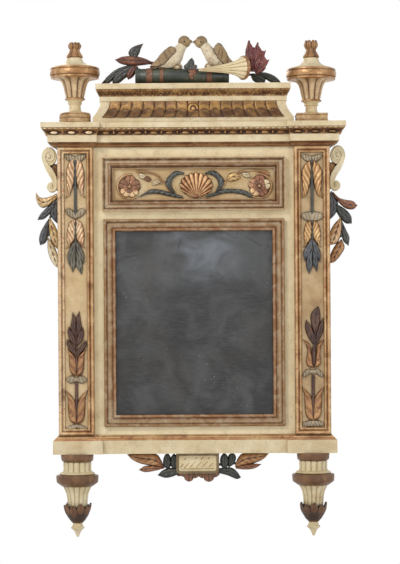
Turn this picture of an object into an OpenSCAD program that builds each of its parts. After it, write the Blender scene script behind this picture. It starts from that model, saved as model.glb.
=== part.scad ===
// Wall mirror in the neoclassical taste: an ivory painted and gilded case with pilasters,
// a carved frieze over the mirror plate, an attic with a crest, urn finials and turned drops.
// Millimetres. X runs across, -Y faces the room, Z is up. The origin is the middle of the
// hanging rail's back face, which lies on the wall.

/* [Case] */
// Ivory field between the moulding round the mirror and each pilaster
field_margin = 29; // [24:1:34]
// Depth from the wall to the ivory field
case_depth = 62; // [58:1:68]
// Thickness of the front boards
board_t = 24; // [20:1:26]
// Thickness of the side boards
side_t = 22; // [16:1:26]
// Length of the tenons on the rails
tenon_l = 40; // [20:1:60]
// Thickness of the tenons on the rails
tenon_t = 8; // [6:1:10]

/* [Mirror plate] */
// Width of the mirror that shows
sight_w = 464; // [440:1:480]
// Height of the mirror that shows
sight_h = 543; // [520:1:555]
// Height of the sight edge above the field's foot
sight_rise = 60; // [52:1:70]
// Width of the gilt moulding round the mirror
glass_frame_w = 36; // [30:1:40]
// Height of that moulding above the field
glass_frame_h = 16; // [12:1:20]
// Depth of the rebate, from the sight edge to the edge of the boards
rebate = 11; // [8:1:14]
// Thickness of the silvered plate
plate_t = 5; // [3:0.5:6]
// Gap between the plate's edge and the boards
plate_gap = 1; // [0.5:0.5:2]
// Thickness of the back boards
back_t = 10; // [8:1:12]

/* [Frieze] */
// Ivory field between the frieze frame and each pilaster
frieze_margin = 25; // [20:1:32]
// Ivory field between the frieze frame and the moulding round the mirror
frieze_gap = 25; // [20:1:32]
// Height of the frieze frame, outside
frieze_h = 159; // [150:1:165]
// Width of the frieze moulding
frieze_frame_w = 34; // [28:1:36]
// Height of the frieze moulding above the field
frieze_frame_h = 20; // [14:1:24]
// Distance from the frieze frame up to the cornice
frieze_drop = 30; // [24:1:34]
// Height of the shell from its hinge to its lip
shell_h = 72; // [66:1:76]
// Distance of each rosette's middle from the end of the frieze's opening
rosette_margin = 44; // [40:1:50]
// Radius of each rosette
rosette_r = 27; // [22:1:28]

/* [Pilasters] */
// Width of a pilaster
pilaster_w = 106; // [102:1:112]
// How far a pilaster stands before the field
pilaster_t = 18; // [14:1:22]
// Width of the outer bead of the pilaster moulding
outer_bead = 10; // [9:1:11]
// Groove between the two beads
bead_groove = 2.5; // [2:0.5:3]
// Width of the inner bead
inner_bead = 7; // [6:1:8]
// Length of the hanging husk drops
husk_drop_l = 364; // [340:1:380]
// Length of the standing tulip sprays
tulip_spray_l = 356; // [330:1:375]

/* [Cornice] */
// Height of the lower gilt moulding
low_mould_h = 13; // [10:1:16]
// Height of the ivory fascia
fascia_h = 21; // [16:1:26]
// Height of the carved gilt band
carved_band_h = 21; // [16:1:26]
// Height of the top board
top_board_h = 15; // [12:1:20]
// Overhang of the lower moulding's foot
low_mould_out = 8; // [6:1:10]
// Overhang of the ivory fascia
fascia_out = 27; // [24:1:30]
// Overhang of the top board
top_board_out = 46; // [42:1:50]
// Overhang of the top board beside the centre, at each pilaster's inner side
top_board_in = 21; // [18:1:24]

/* [Attic] */
// How far each end of the attic draws in over its hollow
attic_end_in = 23; // [17:1:28]
// Height of the attic's plinth
attic_plinth_h = 15; // [12:1:18]
// Height of the hollow
attic_cove_h = 50; // [44:1:56]
// Height of the ivory neck over the hollow
attic_neck_h = 14; // [10:1:18]
// Height of the carved band under the cap
attic_band_h = 20; // [16:1:24]
// Height of the cap
attic_cap_h = 16; // [12:1:20]
// Depth of the attic at its foot
attic_foot_d = 98; // [94:1:102]
// Depth of the attic at the top of its hollow
attic_neck_d = 78; // [74:1:82]
// Overhang of the cap past the neck
attic_cap_out = 14; // [10:1:18]
// Number of leaves along the hollow
attic_leaves = 15; // [11:2:19]
// Gap left between the ivory flank and the leaves at each end
attic_flank = 28; // [22:1:34]

/* [Urns] */
// Distance of the urns' axis from the wall
urn_d = 74; // [74:1:76]
// Radius of the gilt band of an urn
urn_band_r = 72.5; // [68:0.5:73.5]
// Width of the base under an urn
urn_base_w = 93; // [86:1:98]
// Height of the base under an urn
urn_base_h = 31; // [26:1:34]
// Radius of the pegs on urns, drops and buds
peg_r = 8; // [6:0.5:9]
// Length of the pegs
peg_l = 12; // [8:1:12]

/* [Plinth and drops] */
// Height of the plinth
plinth_h = 40; // [34:1:46]
// Overhang of the plinth
plinth_out = 17; // [15:1:20]
// Overhang of the plinth blocks beside the centre
plinth_in = 24; // [20:1:27]
// Height of the gilt base moulding
base_mould_h = 16; // [12:1:20]
// Overhang of the base moulding's foot
base_mould_out = 14; // [11:1:15]
// Distance of the drops' axis from the wall
drop_d = 64; // [63:1:68]
// Radius of the collar of a drop
collar_r = 62; // [58:0.5:62.5]
// Height of the collar of a drop
collar_h = 34; // [28:1:38]

/* [Pendant] */
// Width of the tablet under the plinth
tablet_w = 128; // [120:1:136]
// Height of the tablet
tablet_h = 62; // [56:1:68]
// How far the tablet stands to the right of the middle
tablet_shift = 7; // [0:1:10]
// Thickness of the tablet
tablet_t = 26; // [20:1:30]
// Distance of the tablet's face from the wall
tablet_d = 62; // [58:1:70]

/* [Crest] */
// Distance of the crest's middle plane from the wall
crest_d = 62; // [58:1:66]
// Length of the quiver
quiver_l = 278; // [260:1:290]
// Radius of the quiver
quiver_r = 25; // [22:1:26]
// Length of the torch
torch_l = 138; // [130:1:145]
// Radius of the torch's mouth
torch_r = 33; // [30:1:34]
// Radius of a dove's head
dove_head_r = 16; // [14:1:17]

/* [Side scrolls] */
// Thickness of the scrolls and of the leaves under them
scroll_t = 30; // [24:1:34]
// Distance of their faces from the wall
scroll_d = 50; // [44:1:56]
// Outer radius of the upper volute
volute_r = 21; // [19:1:23]

/* [Hanging] */
// Distance of the hanging pins below the cornice's top board
hang_drop = 74; // [70:1:80]
// Distance of each hanging ring from the middle
ring_x = 250; // [220:1:270]
// Radius of a ring to the middle of its wire
ring_r = 18; // [16:1:20]
// Radius of the ring's wire
wire_r = 2.5; // [2:0.25:3]
// Clearance between the wire and its eye
eye_gap = 0.5; // [0.4:0.1:0.7]
// Radius of the iron that the eye is bent from
eye_wire_r = 2; // [1.5:0.25:2.25]
// Depth of the pockets that the rings lie in
pocket_d = 15.5; // [15.5:0.5:17]
// Thickness of the hanging rail
rail_t = 26; // [22:1:30]
// Height of the hanging rail
rail_h = 100; // [96:1:110]

/* [Hidden] */
$fn = 48;

ivory = [0.88, 0.81, 0.66];
gold = [0.72, 0.53, 0.30];
silver_gilt = [0.62, 0.55, 0.45];
dark_leaf = [0.19, 0.21, 0.19];
brown_leaf = [0.40, 0.26, 0.16];
flame_red = [0.45, 0.17, 0.15];
dove_beige = [0.70, 0.62, 0.48];
bare_wood = [0.62, 0.48, 0.32];
iron = [0.25, 0.24, 0.23];
plate_grey = [0.33, 0.34, 0.35];

// Levels above the plinth's underside
field_z = plinth_h + base_mould_h;
field_h = sight_rise + sight_h + glass_frame_w + frieze_gap + frieze_h + frieze_drop;
cornice_z = field_z + field_h;
fascia_z = cornice_z + low_mould_h;
band_z = fascia_z + fascia_h;
top_board_z = band_z + carved_band_h;
cornice_top_z = top_board_z + top_board_h;
cove_z = cornice_top_z + attic_plinth_h;
neck_z = cove_z + attic_cove_h;
attic_band_z = neck_z + attic_neck_h;
attic_cap_z = attic_band_z + attic_band_h;
crest_z = attic_cap_z + attic_cap_h;
hang_height = top_board_z - hang_drop;

// The case
case_half = sight_w / 2 + glass_frame_w + field_margin + pilaster_w;
case_inner = case_half - side_t;
pilaster_in = case_half - pilaster_w;
pilaster_x = case_half - pilaster_w / 2;
pilaster_d = case_depth + pilaster_t;
board_back = case_depth - board_t;
carcase_h = top_board_z - plinth_h;

// The opening for the plate
sight_z = field_z + sight_rise;
open_half = sight_w / 2 + rebate;
open_z = sight_z - rebate;
open_h = sight_h + 2 * rebate;
frieze_z = cornice_z - frieze_drop - frieze_h;
frieze_mid_z = frieze_z + frieze_h / 2;
frieze_w = 2 * (pilaster_in - frieze_margin);
rosette_x = frieze_w / 2 - frieze_frame_w - rosette_margin;
panel_moulding_w = outer_bead + bead_groove + inner_bead;
panel_half = pilaster_w / 2 - panel_moulding_w;
bead_rise = 10;
touch = 0.3;

module lifted() {
    translate([0, 0, -hang_height]) children();
}

// Turns a drawing with X across, Y up and Z out of the wall to stand at a distance d from the wall
module at_front(d) {
    translate([0, -d, 0]) rotate([90, 0, 0]) children();
}

module both_sides() {
    children();
    mirror([1, 0, 0]) children();
}

// Outline seen from above of a layer that breaks forward over the pilasters
function stepped_plan(out, inn) = [
    [-case_half - out, 0], [-case_half - out, -pilaster_d - out],
    [-pilaster_in + inn, -pilaster_d - out], [-pilaster_in + inn, -case_depth - out],
    [pilaster_in - inn, -case_depth - out], [pilaster_in - inn, -pilaster_d - out],
    [case_half + out, -pilaster_d - out], [case_half + out, 0]
];
// Outline seen from above of a plain rectangular layer
function plain_plan(half, depth) = [[-half, 0], [-half, -depth], [half, -depth], [half, 0]];
// The same for a thin strip before a layer of a given depth
function strip_plan(half, depth, t) =
    [[-half, -depth], [-half, -depth - t], [half, -depth - t], [half, -depth]];
// Splits each outline into convex faces, so that its ends close
stepped_ends = [[0, 1, 2, 3], [0, 3, 4, 7], [4, 5, 6, 7]];
plain_ends = [[0, 1, 2, 3]];

// An S curve from 0 to 1
function cyma(s) = 0.5 - 0.5 * cos(180 * s);
// A hollow quarter from 0 to 1
function hollow(s) = 1 - cos(90 * s);

// Solid through outlines of equal count at rising heights. Where no ends are given, the outlines
// go round the Z axis and their ends close as fans about it.
module stacked(outlines, heights, ends = []) {
    n = len(outlines[0]);
    last = len(outlines) - 1;
    rings = [for (k = [0:last], p = outlines[k]) [p[0], p[1], heights[k]]];
    middles = [[0, 0, heights[0]], [0, 0, heights[last]]];
    sides = [
        for (k = [0:last - 1], i = [0:n - 1])
            [k * n + (i + 1) % n, k * n + i, (k + 1) * n + i, (k + 1) * n + (i + 1) % n]
    ];
    fans = [for (i = [0:n - 1]) [i, (i + 1) % n, len(rings)]];
    head_fans = [for (i = [0:n - 1]) [last * n + (i + 1) % n, last * n + i, len(rings) + 1]];
    head = [for (e = ends) [for (i = [len(e) - 1:-1:0]) last * n + e[i]]];
    if (len(ends) > 0) polyhedron(points = rings, faces = concat(sides, ends, head));
    else polyhedron(points = concat(rings, middles), faces = concat(sides, fans, head_fans));
}

// Layer of the cornice or base whose edge follows a curve from one overhang to another
module moulded_layer(z, h, out_a, out_b, in_a, in_b, curve_steps = 7) {
    shares = [for (k = [0:curve_steps]) k / curve_steps];
    difference() {
        stacked(
            [for (s = shares) stepped_plan(out_a + (out_b - out_a) * cyma(s),
                                           in_a + (in_b - in_a) * cyma(s))],
            [for (s = shares) z + h * s], stepped_ends);
        translate([0, 0, z - 1]) linear_extrude(h + 2) polygon(stepped_plan(0, 0));
    }
}

// One mitred length of a frame, lying along X with its outer edge on Y = 0
module frame_length(length, width, height) {
    intersection() {
        rotate([90, 0, 90]) translate([0, 0, -length / 2]) linear_extrude(length) children();
        linear_extrude(height) polygon([
            [-length / 2, 0], [length / 2, 0],
            [length / 2 - width, width], [-length / 2 + width, width]
        ]);
    }
}

// Mitred frame about the origin, from a profile with X inward from the edge and Y outward
module mitred_frame(w, h, width, height) {
    for (turn = [0:3]) {
        across = turn % 2 == 0 ? w : h;
        away = turn % 2 == 0 ? h : w;
        rotate([0, 0, 90 * turn]) translate([0, -away / 2, 0])
            frame_length(across, width, height) children();
    }
}

function leaf_path(length, bend, s) = bend == 0
    ? [length * s, 0]
    : [sin(bend * s), 1 - cos(bend * s)] * length / (bend * PI / 180);
function leaf_half(width, s, tip) = max(tip, width / 2 * sin(180 * pow(s, 0.8)));

// One section of a leaf: a flat back of thickness back under a ridge
module leaf_section(length, width, bend, rise, back, tip, s) {
    half = leaf_half(width, s, tip);
    crown = rise * (0.35 + 0.65 * sin(180 * pow(s, 0.8)));
    translate(leaf_path(length, bend, s)) rotate([0, 0, bend * s]) {
        if (back > 0) cylinder(h = back, r = half, $fn = 4);
        translate([0, 0, back]) cylinder(h = crown, r1 = half, r2 = 0, $fn = 4);
    }
}

// Pointed leaf along X from the origin, with a ridge down its middle
module leaf(length, width, bend = 0, rise = 6, back = 0, tip = 1.2, steps = 4) {
    for (i = [0:steps - 1]) hull() {
        leaf_section(length, width, bend, rise, back, tip, i / steps);
        leaf_section(length, width, bend, rise, back, tip, (i + 1) / steps);
    }
}

// Leaves from rows of [x, y, angle, length, width, bend]
module leaves(rows, rise = 6, back = 0, steps = 4) {
    for (row = rows) translate([row[0], row[1], 0]) rotate([0, 0, row[2]])
        leaf(row[3], row[4], row[5], rise, back, 1.2, steps);
}

// Ridged stem through hand placed points
module stem(points, r, back = 0) {
    for (i = [0:len(points) - 2]) {
        run = points[i + 1] - points[i];
        hull() for (p = [points[i], points[i + 1]])
            translate([p[0], p[1], 0]) rotate([0, 0, atan2(run[1], run[0])]) {
                if (back > 0) cylinder(h = back, r = r, $fn = 4);
                translate([0, 0, back]) cylinder(h = r, r1 = r, r2 = 0, $fn = 4);
            }
    }
}

// Turned body with flutes, through rows of [height, radius]
module fluted(rows, flutes, depth, points_each = 3) {
    count = flutes * points_each;
    outlines = [
        for (row = rows) [
            for (i = [0:count - 1]) let (a = 360 * i / count,
                r = row[1] - depth * (0.5 - 0.5 * cos(flutes * a)))
                [r * cos(a), r * sin(a)]
        ]
    ];
    stacked(outlines, [for (row = rows) row[0]]);
}

// Points of an arc for a turned or moulded outline
function arc(x, y, r, a0, a1, n = 6) =
    [for (i = [0:n]) let (a = a0 + (a1 - a0) * i / n) [x + r * cos(a), y + r * sin(a)]];

// Case

module case_side() {
    translate([case_inner, -case_depth, plinth_h]) cube([side_t, case_depth, carcase_h]);
}

module case_side_left() color(ivory) lifted() mirror([1, 0, 0]) case_side();

module case_side_right() color(ivory) lifted() case_side();

tenon_y = board_back + (board_t - tenon_t) / 2;
tenon_shoulder = 10;

// Tenon on the right end of a rail between two levels
module tenon(z0, z1) {
    translate([open_half, -tenon_y - tenon_t, z0 + tenon_shoulder])
        cube([tenon_l, tenon_t, z1 - z0 - 2 * tenon_shoulder]);
}

module stile() {
    difference() {
        translate([open_half, -case_depth, plinth_h])
            cube([case_inner - open_half, board_t, carcase_h]);
        tenon(plinth_h, open_z);
        tenon(open_z + open_h, top_board_z);
    }
}

module stile_left() color(ivory) lifted() mirror([1, 0, 0]) stile();

module stile_right() color(ivory) lifted() stile();

module rail(z0, z1) {
    translate([-open_half, -case_depth, z0]) cube([2 * open_half, board_t, z1 - z0]);
    both_sides() tenon(z0, z1);
}

module frieze_board() color(ivory) lifted() rail(open_z + open_h, top_board_z);

module bottom_rail() color(ivory) lifted() rail(plinth_h, open_z);

pocket_half = ring_r + wire_r + 9;
pocket_top = eye_out_r() + 6;
pocket_foot = 2 * ring_r + wire_r + 8;

// Rail across the back that carries the rings, with a pocket for each
module hanging_rail() color(bare_wood) difference() {
    translate([-case_inner, -rail_t, -rail_h / 2]) cube([2 * case_inner, rail_t, rail_h]);
    both_sides() translate([ring_x - pocket_half, -pocket_d, -pocket_foot])
        cube([2 * pocket_half, pocket_d + 1, pocket_foot + pocket_top]);
}

back_lap = 34;
back_half = open_half + back_lap;
back_z = open_z - back_lap / 2;
back_h = open_h + 1.5 * back_lap;
board_gap = 0.6;
back_board_count = 3;
back_board_w = (2 * back_half - (back_board_count - 1) * board_gap) / back_board_count;

// Upright boards over the back of the opening
module back_boards() color(bare_wood) lifted() for (i = [0:back_board_count - 1])
    translate([-back_half + i * (back_board_w + board_gap), -board_back, back_z])
        cube([back_board_w, back_t, back_h]);

nail_head_r = 3.5;
nail_head_t = 1.2;
nail_rows = [back_z + 9, back_z + back_h - 20];

// Heads of the nails that hold the back boards, two at each end of each board
module board_nails() color(iron) lifted()
    for (i = [0:back_board_count - 1], side = [0.2, 0.8], z = nail_rows)
        translate([-back_half + i * (back_board_w + board_gap) + side * back_board_w,
                   back_t - board_back, z])
            rotate([-90, 0, 0]) cylinder(h = nail_head_t, r = nail_head_r);

wedge_l = 46;
wedge_w = rebate - 2;
wedge_d = case_depth - plate_t - board_back;

// Glued blocks between the back boards and the plate
module plate_wedges() color(bare_wood) lifted() {
    both_sides() for (share = [0.12, 0.5, 0.88])
        translate([open_half - wedge_w, -board_back - wedge_d,
                   open_z + open_h * share - wedge_l / 2])
            cube([wedge_w, wedge_d, wedge_l]);
    for (x = [-open_half * 0.5, open_half * 0.5], z = [open_z, open_z + open_h - wedge_w])
        translate([x - wedge_l / 2, -board_back - wedge_d, z]) cube([wedge_l, wedge_d, wedge_w]);
}

module mirror_glass() color(plate_grey) lifted()
    translate([-open_half + plate_gap, -case_depth, open_z + plate_gap])
        cube([2 * (open_half - plate_gap), plate_t, open_h - 2 * plate_gap]);

// Outer fillet, silvered flat and inner bead of the moulding round the plate
module glass_profile() {
    fillet = glass_frame_w * 0.26;
    bead = glass_frame_w * 0.3;
    flat_h = glass_frame_h * 0.55;
    square([fillet, glass_frame_h * 0.8]);
    translate([fillet / 2, glass_frame_h * 0.8]) circle(r = fillet / 2, $fn = 32);
    square([glass_frame_w - bead / 2, flat_h]);
    translate([glass_frame_w - bead, 0]) square([bead, glass_frame_h - bead / 2]);
    translate([glass_frame_w - bead / 2, glass_frame_h - bead / 2]) circle(r = bead / 2, $fn = 32);
}

module glass_frame() color(gold) lifted() at_front(case_depth)
    translate([0, sight_z + sight_h / 2, 0])
        mitred_frame(sight_w + 2 * glass_frame_w, sight_h + 2 * glass_frame_w,
                     glass_frame_w, 2 * glass_frame_h)
            glass_profile();

// Frieze

// Outer fillet, silvered hollow, ridge and fine inner fillet
module frieze_profile() {
    edge = frieze_frame_w * 0.16;
    ridge = frieze_frame_w * 0.58;
    lip = frieze_frame_w * 0.12;
    difference() {
        square([frieze_frame_w, frieze_frame_h * 0.5]);
        translate([frieze_frame_w * 0.85, frieze_frame_h * 0.5]) circle(r = lip * 0.6, $fn = 24);
    }
    difference() {
        square([ridge + edge, frieze_frame_h]);
        translate([edge + ridge * 0.4, frieze_frame_h]) circle(r = ridge * 0.4, $fn = 32);
    }
    translate([ridge + edge, frieze_frame_h * 0.5]) circle(r = lip * 0.8, $fn = 24);
}

module frieze_frame() color(gold) lifted() at_front(case_depth)
    translate([0, frieze_mid_z, 0])
        mitred_frame(frieze_w, frieze_h, frieze_frame_w, 2 * frieze_frame_h) frieze_profile();

frieze_open_h = frieze_h - 2 * frieze_frame_w;
shell_foot = -frieze_open_h / 2 + 9;
shell_ribs = 9;
shell_spread = 156;
shell_side = 0.62;
shell_rise = 13;

// Length of a rib at an angle from upright: longest in the middle of the fan
function shell_reach(a) = shell_h * (shell_side + (1 - shell_side) * cos(a));

module frieze_shell() color(gold) lifted() at_front(case_depth)
    translate([0, frieze_mid_z + shell_foot, 0]) {
        for (i = [0:shell_ribs - 1]) {
            a = shell_spread * (i / (shell_ribs - 1) - 0.5);
            rotate([0, 0, 90 - a]) hull() {
                cylinder(h = shell_rise * 0.6, r1 = 5, r2 = 0, $fn = 4);
                translate([shell_reach(a) * 0.6, 0, 0])
                    cylinder(h = shell_rise, r1 = 9, r2 = 0, $fn = 4);
                translate([shell_reach(a) - 8, 0, 0])
                    cylinder(h = shell_rise * 0.7, r1 = 8, r2 = 3, $fn = 6);
            }
        }
    }

scroll_gap = 4;

// Rosette: a ring of petals about a bead
module rosette() {
    petals = 8;
    petal_r = rosette_r * 0.24;
    for (i = [0:petals - 1]) rotate([0, 0, 360 * i / petals]) hull() {
        translate([rosette_r * 0.3, 0, 0]) cylinder(h = 5, r1 = 4, r2 = 0, $fn = 4);
        translate([rosette_r - petal_r, 0, 0]) cylinder(h = 9, r1 = petal_r, r2 = 0, $fn = 4);
    }
    cylinder(h = 12, r1 = rosette_r * 0.34, r2 = rosette_r * 0.16, $fn = 8);
}

// Acanthus arm, its curled stem round the rosette, and the leaves along it
module frieze_scroll() {
    wind = rosette_r + 6;
    stem_r = 3.4;
    turn = 37.5;
    arm_x = shell_reach(shell_spread / 2) + scroll_gap;
    stem_x = rosette_x - wind;
    translate([rosette_x, 0, 0]) {
        rosette();
        stem([for (a = [170:turn:470]) wind * [cos(a), sin(a)]], stem_r);
    }
    translate([arm_x, -frieze_open_h / 2 + 10, 0]) leaves([
        [0, 0, 10, 46, 16, 18],
        [34, 10, 22, 82, 15, -56],
        [28, 16, 77, 82, 14, 112]
    ], 9);
    stem([[stem_x - 50, -22], [stem_x - 22, -16], [stem_x - 6, -6], [stem_x + 1, 6]], stem_r);
    leaves([
        [stem_x - 26, -14, 104, 34, 13, -20],
        [stem_x - 4, 0, 112, 34, 13, -30],
        [rosette_x - 12, wind - 3, 172, 26, 12, 30],
        [rosette_x + 12, wind - 3, -8, 26, 11, -20]
    ], 7, 0, 2);
}

module frieze_scroll_left() color(gold) lifted() at_front(case_depth)
    translate([0, frieze_mid_z, 0]) mirror([1, 0, 0]) frieze_scroll();

module frieze_scroll_right() color(gold) lifted() at_front(case_depth)
    translate([0, frieze_mid_z, 0]) frieze_scroll();

// Pilasters

module pilaster() {
    translate([pilaster_in, -pilaster_d, plinth_h])
        cube([pilaster_w, pilaster_t, carcase_h]);
}

module pilaster_left() color(ivory) lifted() mirror([1, 0, 0]) pilaster();

module pilaster_right() color(ivory) lifted() pilaster();

// Two beads with a groove between them
module bead_profile() {
    translate([outer_bead / 2, bead_rise - outer_bead / 2]) circle(r = outer_bead / 2, $fn = 32);
    square([outer_bead, bead_rise - outer_bead / 2]);
    translate([outer_bead, 0]) square([bead_groove, bead_rise * 0.2]);
    translate([outer_bead + bead_groove, 0]) {
        translate([inner_bead / 2, bead_rise * 0.7 - inner_bead / 2])
            circle(r = inner_bead / 2, $fn = 32);
        square([inner_bead, bead_rise * 0.7 - inner_bead / 2]);
    }
}

module pilaster_moulding() {
    at_front(pilaster_d) translate([pilaster_x, field_z + field_h / 2, 0])
        mitred_frame(pilaster_w, field_h, panel_moulding_w, 2 * bead_rise) bead_profile();
}

module pilaster_moulding_left() color(gold) lifted() mirror([1, 0, 0]) pilaster_moulding();

module pilaster_moulding_right() color(gold) lifted() pilaster_moulding();

husk_w = 16;
cup_w = 26;

// Trims an ornament, drawn about the panel's middle line, to the room between the mouldings
module on_panel() at_front(pilaster_d) translate([pilaster_x, 0, 0]) intersection() {
    children();
    translate([touch - panel_half, field_z + panel_moulding_w + touch, 0])
        cube([2 * (panel_half - touch), field_h - 2 * (panel_moulding_w + touch), 2 * bead_rise]);
}

// A cup of small drooping lobes, drawn from its top middle
module husk_cup() {
    leaves([[0, -2, -150, cup_w, 13, 20], [0, -2, -30, cup_w, 13, -20], [0, 0, -90, 22, 14, 0]],
           7, 0, 2);
}

// A hanging husk of two split leaves round a bud
module husk(length) {
    leaves([
        [-3, 0, -117, length, husk_w, 26],
        [3, 0, -63, length, husk_w, -26],
        [0, -6, -90, length * 0.7, 11, 0]
    ], 9, 0, 3);
}

// Leaves in pairs down a stem, with one at its end
module leaf_spray(length, pairs, leaf_l, leaf_w) {
    for (i = [0:pairs - 1]) {
        y = -length * (0.12 + 0.5 * i / max(1, pairs - 1));
        leaves([[-1, y, -118, leaf_l, leaf_w, 16], [1, y, -62, leaf_l, leaf_w, -16]], 8, 0, 2);
    }
    leaves([[0, -length + leaf_l * 0.9, -90, leaf_l * 0.9, leaf_w, 0]], 8, 0, 2);
    stem([[0, 0], [0, -length + leaf_l * 0.6]], 3);
}

// Drop of two husks and a spray
module husk_drop() {
    top_husk = husk_drop_l * 0.31;
    second = husk_drop_l * 0.46;
    low_husk = husk_drop_l * 0.24;
    spray_l = husk_drop_l * 0.34;
    translate([0, -5, 0]) husk_cup();
    translate([0, -24, 0]) husk(top_husk);
    stem([[0, -20], [0, -second - 12]], 2.6);
    translate([0, -second, 0]) husk_cup();
    translate([0, -second - 28, 0]) husk(low_husk);
    translate([0, spray_l - husk_drop_l, 0]) leaf_spray(spray_l, 3, 38, 13);
}

module husk_drop_at() on_panel()
    translate([0, field_z + field_h - panel_moulding_w, 0]) husk_drop();

module husk_drop_left() color(gold) lifted() mirror([1, 0, 0]) husk_drop_at();

module husk_drop_right() color(gold) lifted() husk_drop_at();

// Tulip of two split petals, standing on the origin
module tulip(length) {
    leaves([
        [-2, 0, 119, length, 18, -30],
        [2, 0, 61, length, 18, 30],
        [0, 2, 90, length * 0.55, 14, 0]
    ], 9, 0, 3);
}

// A bow of two loops
module bow(half) {
    leaves([[2, 0, 172, half, 12, 10], [-2, 0, 8, half, 12, -10], [0, -5, 90, 12, 12, 0]], 6, 0, 2);
}

// Standing spray: cap, tulip, bow, tulip and a leafy head
module tulip_spray() {
    low_tulip = tulip_spray_l * 0.28;
    bow_y = tulip_spray_l * 0.42;
    high_tulip = tulip_spray_l * 0.23;
    head_l = tulip_spray_l * 0.36;
    translate([0, 9, 0]) bow(panel_half - 2);
    translate([0, 20, 0]) tulip(low_tulip);
    stem([[0, 8], [0, tulip_spray_l - head_l + 4]], 3);
    translate([0, bow_y, 0]) bow(panel_half - 4);
    translate([0, bow_y + 12, 0]) tulip(high_tulip);
    translate([0, tulip_spray_l - head_l, 0]) mirror([0, 1, 0]) leaf_spray(head_l, 3, 44, 14);
}

module tulip_spray_at() on_panel()
    translate([0, field_z + panel_moulding_w, 0]) tulip_spray();

module tulip_spray_left() color(brown_leaf) lifted() mirror([1, 0, 0]) tulip_spray_at();

module tulip_spray_right() color(brown_leaf) lifted() tulip_spray_at();

// Cornice

low_mould_in = 6;
fascia_in = 12;
low_mould_top_out = fascia_out - 2;

module cornice_low_moulding() color(gold) lifted()
    moulded_layer(cornice_z, low_mould_h, low_mould_out, low_mould_top_out,
                  low_mould_in, fascia_in - 1);

module cornice_fascia() color(ivory) lifted() difference() {
    translate([0, 0, fascia_z]) linear_extrude(fascia_h)
        polygon(stepped_plan(fascia_out, fascia_in));
    translate([0, 0, fascia_z - 1]) linear_extrude(fascia_h + 2) polygon(stepped_plan(0, 0));
}

module cornice_carved_band() color(gold) lifted()
    moulded_layer(band_z, carved_band_h, fascia_out + 1, top_board_out - 2,
                  fascia_in, top_board_in - 2);

// Hole for an urn's peg
module urn_socket() {
    translate([pilaster_x, -urn_d, cornice_top_z - peg_l])
        cylinder(h = peg_l + 1, r = peg_r);
}

module cornice_top_board() color(ivory) lifted() difference() {
    translate([0, 0, top_board_z]) linear_extrude(top_board_h)
        polygon(stepped_plan(top_board_out, top_board_in));
    both_sides() urn_socket();
}

// Attic, which stands between the pilasters

attic_half = pilaster_in;
neck_half = attic_half - attic_end_in;

module attic_plinth() color(ivory) lifted() translate([0, 0, cornice_top_z])
    linear_extrude(attic_plinth_h) polygon(plain_plan(attic_half, attic_foot_d));

// Hollow curve from the foot up to the neck: how far the edge has drawn in at a share of the height
function cove_in(s) = 1 - hollow(1 - s);

neck_out = 3;
cove_steps = 6;
cove_shares = [for (k = [0:cove_steps]) k / cove_steps];
function cove_half(s) = attic_half - attic_end_in * cove_in(s);
function cove_depth(s) = attic_foot_d + (attic_neck_d - attic_foot_d) * cove_in(s);

// Hollow block with the ivory neck over it
module attic_cove() color(ivory) lifted() {
    stacked([for (s = cove_shares) plain_plan(cove_half(s), cove_depth(s))],
            [for (s = cove_shares) cove_z + attic_cove_h * s], plain_ends);
    translate([0, 0, neck_z]) linear_extrude(attic_neck_h)
        polygon(plain_plan(neck_half + neck_out, attic_neck_d + neck_out));
}

leaf_band_t = 4;
leaf_ridge = 5;

// A row of upright leaves on a thin ground that follows the hollow
module attic_leaf_band() color(gold) lifted() {
    pitch_foot = 2 * (attic_half - attic_flank) / attic_leaves;
    pitch_neck = 2 * (neck_half - attic_flank) / attic_leaves;
    stacked([for (s = cove_shares) strip_plan(cove_half(s) - attic_flank, cove_depth(s), leaf_band_t)],
            [for (s = cove_shares) cove_z + attic_cove_h * s], plain_ends);
    for (i = [0:attic_leaves - 1]) {
        place = i - (attic_leaves - 1) / 2;
        for (k = [0:2:cove_steps - 2]) {
            s0 = cove_shares[k];
            s1 = cove_shares[k + 2];
            hull() for (s = [s0, s1]) {
                pitch = pitch_foot + (pitch_neck - pitch_foot) * s;
                z = min(max(cove_z + attic_cove_h * s, cove_z + 0.5), neck_z - 0.5);
                translate([place * pitch, -cove_depth(s) - leaf_band_t + 1, z])
                    rotate([90, 0, 0]) scale([pitch * 0.42 * (1.2 - 0.7 * s), 0.5, 1])
                        cylinder(h = leaf_ridge + 1, r1 = 1, r2 = 0, $fn = 4);
            }
        }
    }
}

attic_band_out = attic_cap_out - 2;

module attic_carved_band() color(gold) lifted() {
    shares = [for (k = [0:6]) k / 6];
    half = neck_half + neck_out + 1;
    depth = attic_neck_d + neck_out + 1;
    stacked([for (s = shares) plain_plan(half + (attic_band_out - 4) * cyma(s),
                                         depth + (attic_band_out + 8) * cyma(s))],
            [for (s = shares) attic_band_z + attic_band_h * s], plain_ends);
}

cap_half = neck_half + attic_cap_out;
cap_depth = attic_neck_d + attic_cap_out + 13;

module attic_cap() color(ivory) lifted() translate([0, 0, attic_cap_z])
    linear_extrude(attic_cap_h) polygon(plain_plan(cap_half, cap_depth));

// Urns

urn_neck_r = 17;
urn_bowl_r = 31;
urn_lip_r = 44;
urn_collar_r = 21;
urn_bowl_z = 71;
urn_bowl_h = 39;
urn_band_z = 136;
urn_band_h = 28;
urn_top_z = 194;
urn_flutes = 12;
socket_r = peg_r + 0.05;

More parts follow.
